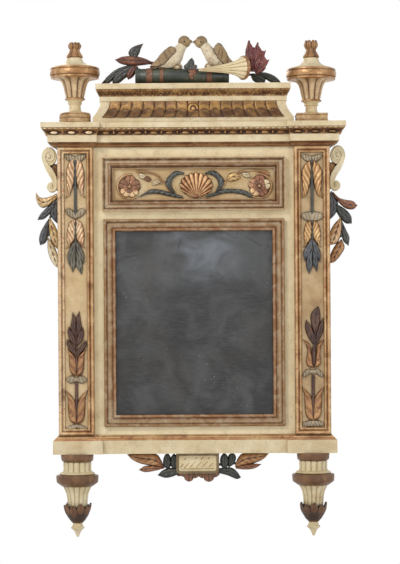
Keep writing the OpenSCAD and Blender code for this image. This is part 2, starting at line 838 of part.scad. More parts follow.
// Turned outline of an urn above its base, from the neck to the collar under the bud
function urn_outline() = concat(
    [[0, urn_base_h], [30, urn_base_h], [30, urn_base_h + 2]],
    arc(urn_neck_r + 13, urn_base_h + 15, 13, -90, -180, 5),
    [[urn_neck_r, urn_base_h + 24]],
    arc(urn_neck_r + 8, urn_bowl_z - 10, 8, 180, 100, 4),
    [[urn_bowl_r - 4, urn_bowl_z - 1], [urn_bowl_r - 4, urn_bowl_z + urn_bowl_h]],
    arc(urn_bowl_r + 14, urn_bowl_z + urn_bowl_h + 3, 14, 180, 90, 5),
    [[urn_lip_r, urn_bowl_z + urn_bowl_h + 19], [urn_lip_r, urn_band_z - 5],
     [urn_band_r - 5, urn_band_z - 5], [urn_band_r, urn_band_z],
     [urn_band_r, urn_band_z + urn_band_h], [urn_band_r - 4, urn_band_z + urn_band_h + 1],
     [urn_collar_r + 24, urn_band_z + urn_band_h + 3]],
    arc(urn_collar_r + 20, urn_top_z - 4, 20, 250, 180, 5),
    [[urn_collar_r, urn_top_z], [0, urn_top_z]]
);

// Urn with its peg below and a hole for the bud's peg above
module urn() {
    difference() {
        rotate_extrude($fn = 64) polygon(urn_outline());
        translate([0, 0, urn_top_z - peg_l - 1]) cylinder(h = peg_l + 2, r = socket_r);
    }
    translate([0, 0, urn_bowl_z])
        fluted([[0, urn_bowl_r], [urn_bowl_h * 0.5, urn_bowl_r - 1.5], [urn_bowl_h, urn_bowl_r + 1]],
               urn_flutes, 3.4);
    translate([0, 0, -peg_l]) cylinder(h = peg_l + 1, r = peg_r);
}

// The left urn stands on a disc
module urn_left() color(gold) lifted() translate([-pilaster_x, -urn_d, cornice_top_z]) {
    cylinder(h = urn_base_h, r = urn_base_w / 2, $fn = 64);
    urn();
}

// The right urn stands on a square block
module urn_right() color(gold) lifted() translate([pilaster_x, -urn_d, cornice_top_z]) {
    translate([-urn_base_w / 2, -urn_base_w / 2, 0]) cube([urn_base_w, urn_base_w, urn_base_h]);
    urn();
}

bud_skirt_r = 24;
bud_waist_r = 14;
bud_crown_r = 17;

// Turned bud with a skirt, a waist and a crown of small leaves
module bud(height) {
    waist = height * 0.5;
    rotate_extrude($fn = 48) polygon(concat(
        [[0, 0], [bud_skirt_r - 3, 0], [bud_skirt_r, 3]],
        arc(bud_waist_r + 12, waist, 12, 240, 180, 4),
        [[bud_crown_r, height * 0.66], [bud_crown_r, height * 0.86],
         [bud_crown_r - 4, height * 0.95], [0, height]]
    ));
    translate([0, 0, -peg_l]) cylinder(h = peg_l + 1, r = peg_r);
    crown_lobes = 6;
    for (i = [0:crown_lobes - 1]) rotate([0, 0, 60 * i]) hull() {
        translate([bud_waist_r - 2, 0, waist + 2]) sphere(r = 3, $fn = 6);
        translate([bud_crown_r - 1, 0, height * 0.8]) sphere(r = 4, $fn = 6);
    }
}

module urn_bud_left() color(gold) lifted()
    translate([-pilaster_x, -urn_d, cornice_top_z + urn_top_z]) bud(46);

module urn_bud_right() color(gold) lifted()
    translate([pilaster_x, -urn_d, cornice_top_z + urn_top_z]) bud(53);

// Crest, drawn with the attic's cap as the ground line and X from the middle

module on_crest(d) at_front(d) translate([0, crest_z, 0]) children();

quiver_x0 = -171;
quiver_y = quiver_r + touch;
band_step = 2;
quiver_body_r = quiver_r - band_step;

// Quiver on its side with raised bands round it
module quiver() color([0.20, 0.26, 0.21]) lifted() on_crest(crest_d)
    translate([quiver_x0, quiver_y, 0]) rotate([0, 90, 0]) {
        cylinder(h = quiver_l, r = quiver_body_r, $fn = 48);
        for (share = [0.03, 0.142, 0.281, 0.794, 0.97])
            translate([0, 0, quiver_l * share - 5]) cylinder(h = 10, r = quiver_r, $fn = 48);
    }

// Room that the quiver takes, drawn on the crest at the quiver's own depth
module quiver_room() translate([quiver_x0 - touch, quiver_y, 0]) rotate([0, 90, 0])
    cylinder(h = quiver_l + 2 * touch, r = quiver_r + touch, $fn = 24);

torch_x0 = 17;
torch_y0 = 39;
torch_tilt = 2.5;
torch_flutes = 10;
rim_w = 10;
torch_rows = [
    [0, 4], [torch_l * 0.35, 11], [torch_l * 0.7, 17], [torch_l * 0.86, 22],
    [torch_l * 0.94, 27], [torch_l, torch_r - 1]
];
// Where the torch lies on the band at the quiver's right end
rest_run = quiver_x0 + quiver_l - torch_x0;
rest_r = lookup(rest_run, torch_rows);
rest_up = torch_y0 + rest_run * tan(torch_tilt) - quiver_y;
rest_out = sqrt(pow(quiver_r + rest_r + touch, 2) - pow(rest_up, 2));
torch_d = crest_d + rest_out;
// Turns the torch so that it lies on a ridge between two flutes
torch_roll = -atan2(rest_up, rest_out);

module at_torch() on_crest(torch_d) translate([torch_x0, torch_y0, 0])
    rotate([0, 0, torch_tilt]) rotate([0, 90, 0]) children();

// Trumpet shaped torch lying before the quiver, its mouth to the right
module torch() color(ivory) lifted() at_torch() {
    rotate([0, 0, torch_roll]) fluted(torch_rows, torch_flutes, 2.2);
    translate([0, 0, torch_l]) rotate_extrude($fn = 48)
        polygon(concat([[0, 0], [torch_r - 2, -4]],
                       arc(torch_r - 2, rim_w / 2 - 3, rim_w / 2, -60, 60, 6),
                       [[torch_r - 6, rim_w - 3], [0, rim_w - 6]]));
}

// Room that the torch takes
module torch_room() at_torch() {
    rotate_extrude($fn = 24) polygon(concat(
        [[0, -touch]], [for (row = torch_rows) [row[1] + touch, row[0]]], [[0, torch_l]]));
    translate([0, 0, torch_l - 6]) cylinder(h = rim_w + 4, r = torch_r + 3 + touch, $fn = 24);
}

mouth = [torch_x0 + torch_l * cos(torch_tilt), torch_y0 + torch_l * sin(torch_tilt)];
flame_rows = [
    [10, 0, 99, 86, 26, -10], [16, 2, 78, 78, 24, 10], [20, 0, 58, 62, 22, 12],
    [20, -5, 32, 48, 20, 14], [16, -10, -4, 30, 18, 20]
];

// Tongues of flame out of the torch's mouth
module torch_flame() color(flame_red) lifted() difference() {
    on_crest(torch_d - 12) translate(mouth) {
        leaves(flame_rows, 8, 16, 3);
        translate([4, 0, 12]) rotate([0, 90, 0]) cylinder(h = 18, r1 = 20, r2 = 12, $fn = 8);
    }
    torch_room();
}

laurel_left_rows = [
    [-182, 80, 58, 58, 24, -18], [-126, 70, 178, 106, 24, -6], [-186, 56, 192, 98, 21, 34],
    [-178, 50, 204, 72, 18, 20], [-176, 50, 236, 36, 18, 0]
];
laurel_left_stem = [[-118, 66], [-150, 62], [-178, 58], [-186, 80]];
laurel_right_rows = [
    [176, 34, -14, 48, 15, -24], [196, 42, -12, 74, 20, -34]
];
laurel_t = 12;
laurel_d = crest_d - quiver_r + 8;

// Sprays of leaves behind the quiver's left end and behind the torch's mouth
module laurel_sprays() color(dark_leaf) lifted() difference() {
    union() {
        on_crest(laurel_d) {
            leaves(laurel_left_rows, 6, laurel_t, 3);
            stem(laurel_left_stem, 5, laurel_t);
            stem([[-180, 60], [-176, 40]], 6, laurel_t);
        }
        on_crest(laurel_d - 4) {
            leaves(laurel_right_rows, 6, laurel_t - 3, 3);
            stem([[170, 36], [200, 42]], 5, laurel_t - 3);
            stem([[172, 5 + touch], [172, 36]], 5, laurel_t - 3);
        }
    }
    on_crest(crest_d) quiver_room();
}

knot_rows = [
    [-6, 32, 150, 18, 11, 20], [-6, 32, 30, 18, 11, -20], [-8, 32, -104, 24, 9, 10],
    [-4, 32, -78, 22, 9, -10], [-14, 36, 66, 44, 16, -8]
];

// Ribbon knot on the quiver's front, with one leaf that rises from it
module ribbon_knot() color(silver_gilt) lifted() on_crest(crest_d + quiver_body_r + touch)
    leaves(knot_rows, 5, 2, 2);

beak_reach = 27.5;
dove_head_y = 128;
beak_r = 1.4;

// Rounded mass between two balls, flattened from front to back
module mass(p, pr, q, qr, flat = 0.8) {
    hull() {
        translate([p[0], p[1], 0]) scale([1, 1, flat]) sphere(r = pr, $fn = 8);
        translate([q[0], q[1], 0]) scale([1, 1, flat]) sphere(r = qr, $fn = 8);
    }
}

// Dove in profile with its beak to the right, the head over the origin and the body behind it
module dove(wing_from, wing_turn, wing_l, tail) {
    breast = [-21, dove_head_y - 42];
    belly = [-42, dove_head_y - 61];
    translate([0, dove_head_y, 0]) {
        scale([1, 1, 0.9]) sphere(r = dove_head_r, $fn = 10);
        hull() {
            translate([dove_head_r - 6, 1, 0]) sphere(r = 6, $fn = 6);
            translate([beak_reach - beak_r, -3, 0]) sphere(r = beak_r, $fn = 6);
        }
    }
    mass([-2, dove_head_y - 4], dove_head_r - 2, breast, 22);
    mass(breast, 22, belly, 20);
    mass(belly, 17, tail, 6, 0.5);
    mass([-22, 58], 10, [-44, 58], 12);
    translate([wing_from[0], wing_from[1], 10]) rotate([0, 0, wing_turn])
        leaf(wing_l, 36, 6, 6, 6, 3, 5);
}

module dove_left() color(dove_beige) lifted() on_crest(crest_d) difference() {
    translate([-beak_reach - touch, 0, 0]) dove([-22, 110], 213, 92, [-93, 58]);
    quiver_room();
}

module dove_right() color(dove_beige) lifted() difference() {
    on_crest(crest_d) mirror([1, 0, 0]) translate([-beak_reach, 0, 0])
        dove([-34, 116], 226, 80, [-98, 61]);
    on_crest(crest_d) quiver_room();
    torch_room();
}

// Side scrolls and leaves

scroll_z = cornice_z - touch;
scroll_back = scroll_d - scroll_t;

// Band of an S scroll, drawn as a chain of discs through points that follow two spirals
module scroll_band(points, radii) {
    for (i = [0:len(points) - 2]) hull() for (k = [i, i + 1])
        translate([points[k][0], points[k][1], 0])
            cylinder(h = scroll_t, r = radii[k], $fn = 8);
}

volute_turns = 1.25;
volute_steps = 10;
small_volute_r = 13;
small_volute_steps = 6;
band_r = 4.6;

// Spiral about the origin from its rim in to its eye, stretched upward
function volute(r, start, steps, stretch) = [
    for (i = [0:steps]) let (s = i / steps, a = start + 360 * volute_turns * s)
        (r * (1 - 0.7 * s)) * [cos(a), stretch * sin(a)]
];

// Ear at the side of the case: a large volute over a small one, joined by a reversing band,
// with a fillet against the case. X is measured from the case's side.
module side_scroll() {
    centre = [volute_r + 8, -18];
    foot = [small_volute_r + 9, centre[1] - 88];
    upper = [for (p = volute(volute_r - band_r + 1, -55, volute_steps, 1.35)) centre + p];
    lower = [for (p = volute(small_volute_r - band_r + 1, 180, small_volute_steps, 1)) foot + p];
    difference() {
        union() {
            scroll_band(upper, [for (i = [0:volute_steps]) band_r - 1.4 * i / volute_steps]);
            scroll_band([upper[0], [30, centre[1] - 42], [14, centre[1] - 62], lower[0]],
                        [band_r, 5.2, 5, 4.2]);
            scroll_band(lower, [for (i = [0:small_volute_steps]) 4.2 - i / small_volute_steps]);
            translate([0, centre[1] - 84, 0]) cube([10, 86, scroll_t * 0.6]);
        }
        translate([-1, 0, -1]) cube([low_mould_top_out + touch + 1, 2 * volute_r, scroll_t + 2]);
    }
}

module side_scroll_at() at_front(scroll_back) translate([case_half, scroll_z, 0]) side_scroll();

module side_scroll_left() color(ivory) lifted() mirror([1, 0, 0]) side_scroll_at();

module side_scroll_right() color(ivory) lifted() side_scroll_at();

left_leaf_rows = [
    [4, 0, -34, 76, 24, 78], [4, -6, -38, 86, 22, -22], [9, -8, -88, 80, 18, 4],
    [28, -66, -56, 82, 20, -14], [24, -66, -104, 72, 16, -10], [30, -130, -88, 92, 18, -34]
];
left_leaf_stem = [[4, 2], [10, -40], [26, -66], [30, -132]];
right_leaf_rows = [
    [8, 0, -14, 88, 22, -18], [16, -40, -34, 72, 20, -30], [12, -6, -88, 82, 22, 4],
    [30, -66, -104, 86, 18, -8], [34, -72, -62, 90, 20, -20], [30, -132, -98, 80, 18, -30]
];
right_leaf_stem = [[8, 2], [14, -36], [32, -70], [31, -134]];
leaf_drop = 140;
side_leaf_back = 12;

// Stem with leaves under a scroll, cut straight where it lies on the case
module side_leaves(rows, points) at_front(scroll_back) translate([case_half, scroll_z - leaf_drop, 0])
    intersection() {
        union() {
            leaves(rows, 7, side_leaf_back, 3);
            stem(points, 5, side_leaf_back);
            translate([0, -60, 0]) cube([8, 66, 10]);
        }
        translate([0, -3 * leaf_drop, -1]) cube([leaf_drop, 4 * leaf_drop, scroll_t]);
    }

module side_leaves_left() color(dark_leaf) lifted()
    mirror([1, 0, 0]) side_leaves(left_leaf_rows, left_leaf_stem);

module side_leaves_right() color(dark_leaf) lifted()
    side_leaves(right_leaf_rows, right_leaf_stem);

// Base

base_mould_lip = 2;

module base_moulding() color(gold) lifted()
    moulded_layer(plinth_h, base_mould_h, base_mould_out, base_mould_lip,
                  plinth_in - 3, base_mould_lip);

// Plinth with blocks under the pilasters and holes for the pegs of the drops
module plinth() color(ivory) lifted() difference() {
    linear_extrude(plinth_h) polygon(stepped_plan(plinth_out, plinth_in));
    both_sides() translate([pilaster_x, -drop_d, -1]) cylinder(h = peg_l + 1, r = peg_r);
}

// Drops

drop_cap_h = 23;
drop_cap_r = 47;
drop_neck_h = 30;
drop_lip_h = 9;
drop_bowl_h = 54;
drop_bowl_r = 30;
drop_flutes = 12;
calyx_h = 53;
calyx_r = 40;
calyx_foot_r = 14;
calyx_floor = 6;
drop_tip_h = 43;
neck_top_r = 42;
collar_z = -drop_cap_h - drop_neck_h - drop_lip_h;
bowl_z = collar_z - collar_h;
calyx_z = bowl_z - drop_bowl_h - calyx_h;

// Turned drop under the plinth, from its peg to its tip
module drop() {
    translate([0, 0, -0.01]) cylinder(h = peg_l, r = peg_r);
    translate([0, 0, -drop_cap_h]) cylinder(h = drop_cap_h, r1 = drop_cap_r - 4, r2 = drop_cap_r);
    fluted([[-drop_cap_h - drop_neck_h, 40], [-drop_cap_h, neck_top_r]], drop_flutes, 3);
    translate([0, 0, collar_z]) cylinder(h = drop_lip_h, r1 = 52, r2 = 44);
    translate([0, 0, bowl_z]) rotate_extrude($fn = 64) polygon([
        [0, 0], [collar_r - 17, 0], [collar_r, 10], [collar_r, collar_h - 3],
        [collar_r - 3, collar_h], [0, collar_h]
    ]);
    translate([0, 0, bowl_z - drop_bowl_h])
        fluted([for (row = [[0, 0], [0.38, 1], [0.7, 4.5], [0.9, 11], [1, collar_r - 18 - drop_bowl_r]])
                   [drop_bowl_h * row[0], drop_bowl_r + row[1]]], drop_flutes, 3);
    translate([0, 0, calyx_z + calyx_floor])
        cylinder(h = calyx_h - calyx_floor + 1, r1 = calyx_foot_r - 2, r2 = drop_bowl_r - 4);
    translate([0, 0, calyx_z - drop_tip_h]) rotate_extrude($fn = 48) polygon(concat(
        [[0, 0], [4, 1], [6, 6], [9, 18]], arc(14, 29, 6, -60, 60, 5),
        [[14, drop_tip_h - 4], [peg_r, drop_tip_h - 4], [peg_r, drop_tip_h + calyx_floor + 1],
         [0, drop_tip_h + calyx_floor + 1]]
    ));
}

module drop_at(side) translate([side * pilaster_x, -drop_d, 0]) children();

module drop_left() color(ivory) lifted() drop_at(-1) drop();

module drop_right() color(ivory) lifted() drop_at(1) drop();

calyx_tips = 8;
notch_h = 16;

// Cup of leaves with pointed tips round the foot of a drop's bowl
module drop_calyx() translate([0, 0, calyx_z]) difference() {
    rotate_extrude($fn = 64) polygon(concat(
        [[peg_r + 0.1, 0], [calyx_foot_r, 0], [calyx_r * 0.7, calyx_h * 0.28],
         [calyx_r * 0.9, calyx_h * 0.58], [calyx_r, calyx_h]],
        [[drop_bowl_r + 3, calyx_h], [drop_bowl_r + 1, calyx_h - 2], [drop_bowl_r - 3, calyx_h - 12],
         [calyx_foot_r, calyx_floor], [peg_r + 0.1, calyx_floor]]
    ));
    for (i = [0:calyx_tips - 1]) rotate([0, 0, 360 * (i + 0.5) / calyx_tips])
        translate([0, 0, calyx_h]) rotate([90, 0, 90]) linear_extrude(calyx_r + 4)
            polygon([[0, -notch_h], [notch_h * 0.62, 1], [-notch_h * 0.62, 1]]);
}

module drop_calyx_left() color(brown_leaf) lifted() drop_at(-1) drop_calyx();

module drop_calyx_right() color(brown_leaf) lifted() drop_at(1) drop_calyx();

// Pendant

tablet_back = tablet_d - tablet_t;
tablet_panel_d = 4;
tablet_margin = 10;

// Tablet with a sunk panel and rounded lower corners
module pendant_tablet() color(silver_gilt) lifted() at_front(tablet_back)
    translate([tablet_shift, 0, 0]) difference() {
        union() {
            translate([-tablet_w / 2, -tablet_h + 14, 0]) cube([tablet_w, tablet_h - 14, tablet_t]);
            translate([-tablet_w / 2 + 14, -tablet_h, 0]) cube([tablet_w - 28, 20, tablet_t]);
            both_sides() translate([tablet_w / 2 - 14, -tablet_h + 14, 0])
                cylinder(h = tablet_t, r = 14);
        }
        translate([-tablet_w / 2 + tablet_margin, -tablet_h + tablet_margin + 2,
                   tablet_t - tablet_panel_d])
            cube([tablet_w - 2 * tablet_margin, tablet_h - 2 * tablet_margin - 4, tablet_t]);
    }

pendant_leaf_rows = [
    [6, -43, 112, 44, 22, 10], [14, -43, 76, 43, 24, -8], [3, -42, -26, 60, 24, 0],
    [38, -40, 22, 112, 32, -6], [40, -40, -2, 76, 15, 6]
];
under_rows = [[16, -90, 22, 16, 0], [34, -78, 18, 16, 0], [50, -60, 16, 16, 0]];

// Leaves beside the tablet and the small lobes under it
module pendant_leaves() color(dark_leaf) lifted() at_front(tablet_back)
    translate([tablet_shift, 0, 0]) both_sides() {
        intersection() {
            translate([tablet_w / 2 + touch, 0, 0]) {
                leaves(pendant_leaf_rows, 7, 10, 3);
                stem([[0, -44], [42, -40]], 4, 10);
            }
            translate([tablet_w / 2 + touch, -2 * tablet_h, -1])
                cube([2 * tablet_w, 2 * tablet_h, tablet_t]);
        }
        intersection() {
            for (row = under_rows) translate([row[0], 4 - tablet_h, 0]) rotate([0, 0, row[1]])
                leaf(row[2], row[3], row[4], 6, 10, 6, 2);
            translate([0, -2 * tablet_h, -1]) cube([tablet_w, tablet_h - touch, tablet_t]);
        }
    }

// Hanging hardware

function eye_out_r() = wire_r + eye_gap + 2 * eye_wire_r;
eye_r = wire_r + eye_gap + eye_wire_r;
hanger_t = 2.5;
pin_d = pocket_d - hanger_t - eye_r + 0.5;
hanger_w = 22;
hanger_top = 7;
hanger_foot = 27;
hanger_nail_z = [-13, -22];

// Iron plates at the back of the pockets, each with an eye for its ring
module hanger_plates() color(iron) both_sides() translate([ring_x, 0, 0]) {
    translate([-hanger_w / 2, -pocket_d, -hanger_foot])
        cube([hanger_w, hanger_t, hanger_foot + hanger_top]);
    translate([0, -pin_d, 0]) rotate([0, 90, 0])
        rotate_extrude($fn = 48) translate([eye_r, 0]) circle(r = eye_wire_r, $fn = 32);
}

// Heads of the nails in the hanger plates
module hanger_nails() color(iron) both_sides() for (z = hanger_nail_z)
    translate([ring_x, -pocket_d + hanger_t, z]) rotate([-90, 0, 0])
        cylinder(h = 1, r = 2.8);

// Ring that hangs from its eye
module hanger_ring(side) translate([side * ring_x, -pin_d, -ring_r]) rotate([90, 0, 0])
    rotate_extrude($fn = 64) translate([ring_r, 0]) circle(r = wire_r, $fn = 32);

module hanger_ring_left() color(iron) hanger_ring(-1);

module hanger_ring_right() color(iron) hanger_ring(1);

case_side_left();
case_side_right();
stile_left();
stile_right();
frieze_board();
bottom_rail();
hanging_rail();
back_boards();
board_nails();
plate_wedges();
mirror_glass();
glass_frame();
frieze_frame();
frieze_shell();
frieze_scroll_left();
frieze_scroll_right();
pilaster_left();
pilaster_right();
pilaster_moulding_left();
pilaster_moulding_right();
husk_drop_left();
husk_drop_right();
tulip_spray_left();
tulip_spray_right();
cornice_top_board();
cornice_carved_band();
cornice_fascia();
cornice_low_moulding();
attic_plinth();
attic_cove();
attic_leaf_band();
attic_carved_band();
attic_cap();
urn_left();
urn_right();
urn_bud_left();
urn_bud_right();
dove_left();
dove_right();
quiver();
torch();
torch_flame();
laurel_sprays();
ribbon_knot();
side_scroll_left();
side_scroll_right();
side_leaves_left();
side_leaves_right();
base_moulding();
plinth();
drop_left();
drop_right();
drop_calyx_left();
drop_calyx_right();
pendant_tablet();
pendant_leaves();
hanger_plates();
hanger_nails();
hanger_ring_left();
hanger_ring_right();
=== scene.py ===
import math

import bmesh
import bpy
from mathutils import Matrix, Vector


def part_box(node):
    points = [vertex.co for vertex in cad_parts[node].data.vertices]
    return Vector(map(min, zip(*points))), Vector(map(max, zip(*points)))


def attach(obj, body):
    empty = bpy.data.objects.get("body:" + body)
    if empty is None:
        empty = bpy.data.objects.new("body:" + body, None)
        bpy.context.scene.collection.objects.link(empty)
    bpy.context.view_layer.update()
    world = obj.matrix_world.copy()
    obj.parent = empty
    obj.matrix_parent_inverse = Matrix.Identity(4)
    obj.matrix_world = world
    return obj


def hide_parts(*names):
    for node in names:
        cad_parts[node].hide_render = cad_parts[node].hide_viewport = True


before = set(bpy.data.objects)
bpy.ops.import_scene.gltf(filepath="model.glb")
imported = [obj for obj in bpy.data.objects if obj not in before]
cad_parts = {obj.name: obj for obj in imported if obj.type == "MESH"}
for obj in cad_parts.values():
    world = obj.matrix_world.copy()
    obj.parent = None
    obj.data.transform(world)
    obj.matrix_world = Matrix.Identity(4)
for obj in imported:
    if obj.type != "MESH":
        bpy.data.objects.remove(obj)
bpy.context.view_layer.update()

# Camera: level, six metres from the wall, with the small roll that the photograph shows

EYE_DISTANCE = 6.0
EYE_HEIGHT = -0.539
ROLL = 0.35
IMAGE_HEIGHT = 564
PIXELS_PER_METRE = 1000 / 3.0
PIXELS_RIGHT, PIXELS_UP = 5.5, 53
SENSOR = 36

camera_data = bpy.data.cameras.new("camera")
camera_data.sensor_width = SENSOR
camera_data.lens = PIXELS_PER_METRE * EYE_DISTANCE * SENSOR / IMAGE_HEIGHT
camera_data.shift_x = PIXELS_RIGHT / IMAGE_HEIGHT
camera_data.shift_y = PIXELS_UP / IMAGE_HEIGHT
camera = bpy.data.objects.new("camera", camera_data)
camera.location = (0, -EYE_DISTANCE, EYE_HEIGHT)
camera.rotation_euler = (math.radians(90), math.radians(ROLL), 0)
bpy.context.collection.objects.link(camera)
bpy.context.scene.camera = camera
bpy.context.scene.view_settings.view_transform = "Standard"

MM = 0.001
HANG = 890      # level of the frame's origin over the plinth's underside


def level(mm):
    """Height in metres of a level above the plinth's underside."""
    return (mm - HANG) * MM


def box_mm(node):
    """A node's box as low and high corners of x, level and depth."""
    low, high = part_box(node)
    return tuple((x / MM, z / MM + HANG, -y / MM)
                 for x, z, y in ((low.x, low.z, high.y), (high.x, high.z, low.y)))


def srgb(code):
    """Linear colour from the six digits of a screen colour."""
    parts = [int(code[i:i + 2], 16) for i in (0, 2, 4)]
    return tuple(((c / 255 + 0.055) / 1.055) ** 2.4 if c > 10 else c / 255 / 12.92
                 for c in parts) + (1.0,)


# Materials

class Nodes:
    """A node tree that is filled by short calls."""

    def __init__(self, tree):
        self.tree = tree

    def put(self, socket, value):
        if isinstance(value, bpy.types.NodeSocket):
            self.tree.links.new(value, socket)
        else:
            socket.default_value = value

    def add(self, kind, inputs=(), **settings):
        """New node with its settings, and a value or a link for each input given."""
        node = self.tree.nodes.new("ShaderNode" + kind)
        for key, value in settings.items():
            setattr(node, key, value)
        for key, value in dict(inputs).items():
            self.put(node.inputs[key], value)
        return node

    def maths(self, operation, a, b=0.0):
        return self.add("Math", {0: a, 1: b}, operation=operation).outputs[0]


class Shader(Nodes):
    """A material that is built up from procedural nodes."""

    def __init__(self, name):
        self.material = bpy.data.materials.new(name)
        self.material.use_nodes = True
        super().__init__(self.material.node_tree)
        self.bsdf = self.tree.nodes["Principled BSDF"]
        self.place = self.add("TexCoord").outputs["Object"]

    def stretched(self, scale):
        if not scale:
            return self.place
        return self.add("Mapping", {"Vector": self.place, "Scale": scale}).outputs["Vector"]

    def noise(self, scale, detail=4.0, stretch=None, distortion=0.0):
        return self.add("TexNoise", {"Vector": self.stretched(stretch), "Scale": scale,
                                     "Detail": detail, "Distortion": distortion}).outputs["Fac"]

    def cells(self, scale, stretch=None):
        return self.add("TexVoronoi", {"Vector": self.stretched(stretch), "Scale": scale},
                        feature="DISTANCE_TO_EDGE").outputs["Distance"]

    def axis(self, name):
        return self.add("SeparateXYZ", {0: self.place}).outputs[name]

    def ramp(self, value, low, high, start=0.0, end=1.0):
        """Value between low and high as a share between start and end."""
        return self.add("MapRange", {"Value": value, "From Min": low, "From Max": high,
                                     "To Min": start, "To Max": end}).outputs["Result"]

    def off(self, value, middle):
        return self.maths("ABSOLUTE", self.maths("SUBTRACT", value, middle))

    def times(self, a, b):
        return self.maths("MULTIPLY", a, b)

    def beyond(self, middle, half):
        """Distance outward from the edge of an upright rectangle, in metres."""
        return self.maths("MAXIMUM", *(self.maths("SUBTRACT", self.off(self.axis(a), m), h)
                                       for a, m, h in zip("XZ", middle, half)))

    def mix(self, share, a, b):
        return self.add("Mix", {"Factor": share, 6: a, 7: b}, data_type="RGBA").outputs[2]

    def colours(self, value, stops):
        """Colours along a value, from a row of shares and colours."""
        node = self.add("ValToRGB", {"Fac": value})
        words = stops.split()
        stops = [(float(share), srgb(code)) for share, code in zip(words[::2], words[1::2])]
        first, last = node.color_ramp.elements
        first.position, first.color = stops[0]
        last.position, last.color = stops[-1]
        for share, colour in stops[1:-1]:
            node.color_ramp.elements.new(share).color = colour
        return node.outputs["Color"]

    def hollows(self, reach):
        """How much of the room near a point is closed in, from 0 to 1; it places painted shade in
        hollows.
        """
        node = self.add("AmbientOcclusion", {"Distance": reach}, samples=6)
        return self.ramp(node.outputs["AO"], 0.20, 0.75, 1.0, 0.0)

    def finish(self, colour, height, depth, roughness, metal=0.0, sheen=0.0):
        """Joins colour, bump and roughness to the surface."""
        bump = self.add("Bump", {"Height": height, "Strength": 1.0, "Distance": depth})
        for key, value in {"Base Color": colour, "Normal": bump.outputs["Normal"],
                           "Roughness": roughness, "Metallic": metal, "Coat Weight": sheen,
                           "Coat Roughness": 0.35}.items():
            self.put(self.bsdf.inputs[key], value)
        return self.material


def aged(name, colour, light, dark, grime, worn, reach, cracks, wear, rough, metal, sheen,
         patch_scale=16, patchy=1.0, fine_scale=260, grain=None, depth=0.0006, dirt=0.85):
    """Old paint or leaf: patches, fine specks, cracks and rubbed places, with grime and painted
    shade in the hollows.

    The mesh's relief shading is below 0 in cuts and along edges, where it paints shade in the grime
    colour, and above 0 on ridges, where it paints a highlight in the lighter colour.
    """
    s = Shader(name)
    if callable(colour):
        colour = colour(s)
    patches = s.noise(patch_scale, 5.0, distortion=0.6)
    fine = s.noise(fine_scale, 6.0, grain)
    tone = s.mix(s.ramp(patches, 0.46, 0.70, 0.0, 0.75 * patchy), colour, light)
    tone = s.mix(s.ramp(patches, 0.44, 0.28, 0.0, 0.70 * patchy), tone, dark)
    tone = s.mix(s.ramp(fine, 0.56, 0.74, 0.0, 0.55), tone, dark)
    height = s.times(fine, 0.6)
    if worn:
        rubbed = s.noise(patch_scale * 3.2, 7.0, distortion=1.2)
        tone = s.mix(s.ramp(rubbed, 0.62 - 0.14 * wear, 0.72 - 0.10 * wear, 0.0, 0.85), tone, worn)
        height = s.maths("ADD", height, s.ramp(rubbed, 0.5, 0.7, 0.4, 0.0))
    if cracks:
        some = s.ramp(s.noise(patch_scale * 2.3, 3.0), 0.42, 0.60)
        line = s.times(s.ramp(s.cells(150), 0.0, 0.06, 1.0, 0.0), some)
        tone = s.mix(s.times(line, cracks), tone, grime)
        height = s.maths("SUBTRACT", height, s.times(line, 0.5))
    # Painted highlight on ridges and painted shade in cuts and along edges, from the relief shading
    relief = s.add("Attribute", attribute_name="relief").outputs["Fac"]
    tone = s.mix(s.ramp(relief, 0.05, 0.9, 0.0, 0.85), tone, light)
    tone = s.mix(s.ramp(relief, -0.15, -0.9, 0.0, 0.9), tone, grime)
    # Darkening in hollows from ambient occlusion, in the grime colour: partly real grime, partly
    # painted shade
    tone = s.mix(s.times(s.hollows(reach), dirt), tone, grime)
    return s.finish(tone, height, depth, s.ramp(fine, 0.3, 0.7, *rough), metal, sheen)


def by_height(node, stops):
    """Colour between the foot and the top of a node."""
    low, high = box_mm(node)
    return lambda s: s.colours(s.ramp(s.axis("Z"), level(low[1]), level(high[1])), stops)


def middle_and_half(node, width):
    """Middle and half size in metres of the rectangle a width inside a node's box."""
    low, high = box_mm(node)
    return (((low[0] + high[0]) / 2 * MM, level((low[1] + high[1]) / 2)),
            (((high[0] - low[0]) / 2 - width) * MM, ((high[1] - low[1]) / 2 - width) * MM))


def by_frame(node, width, stops):
    """Colour outward over a frame's width from its inner edge."""
    return lambda s: s.colours(
        s.ramp(s.beyond(*middle_and_half(node, width)), 0.0, width * MM), stops)


def lit_side(bands, node, pale, share):
    """The bands, with a painted highlight that makes their leaf paler on the side away from the
    mirror's plate.
    """
    def build(s):
        away = s.maths("SUBTRACT", s.axis("X"), middle_and_half(node, 0)[0][0])
        return s.mix(s.ramp(away, -0.032, -0.026, share, 0.0), bands(s), srgb(pale))
    return build


def frieze_ground(s):
    """Tan inside the frieze frame and ivory all round it; that ivory is a brighter copy of the
    case's, painted light.
    """
    outside = s.ramp(s.beyond(*middle_and_half("frieze_frame", 20)), -0.001, 0.001)
    return s.mix(outside, srgb("c8a876"), srgb("f4e2b8"))


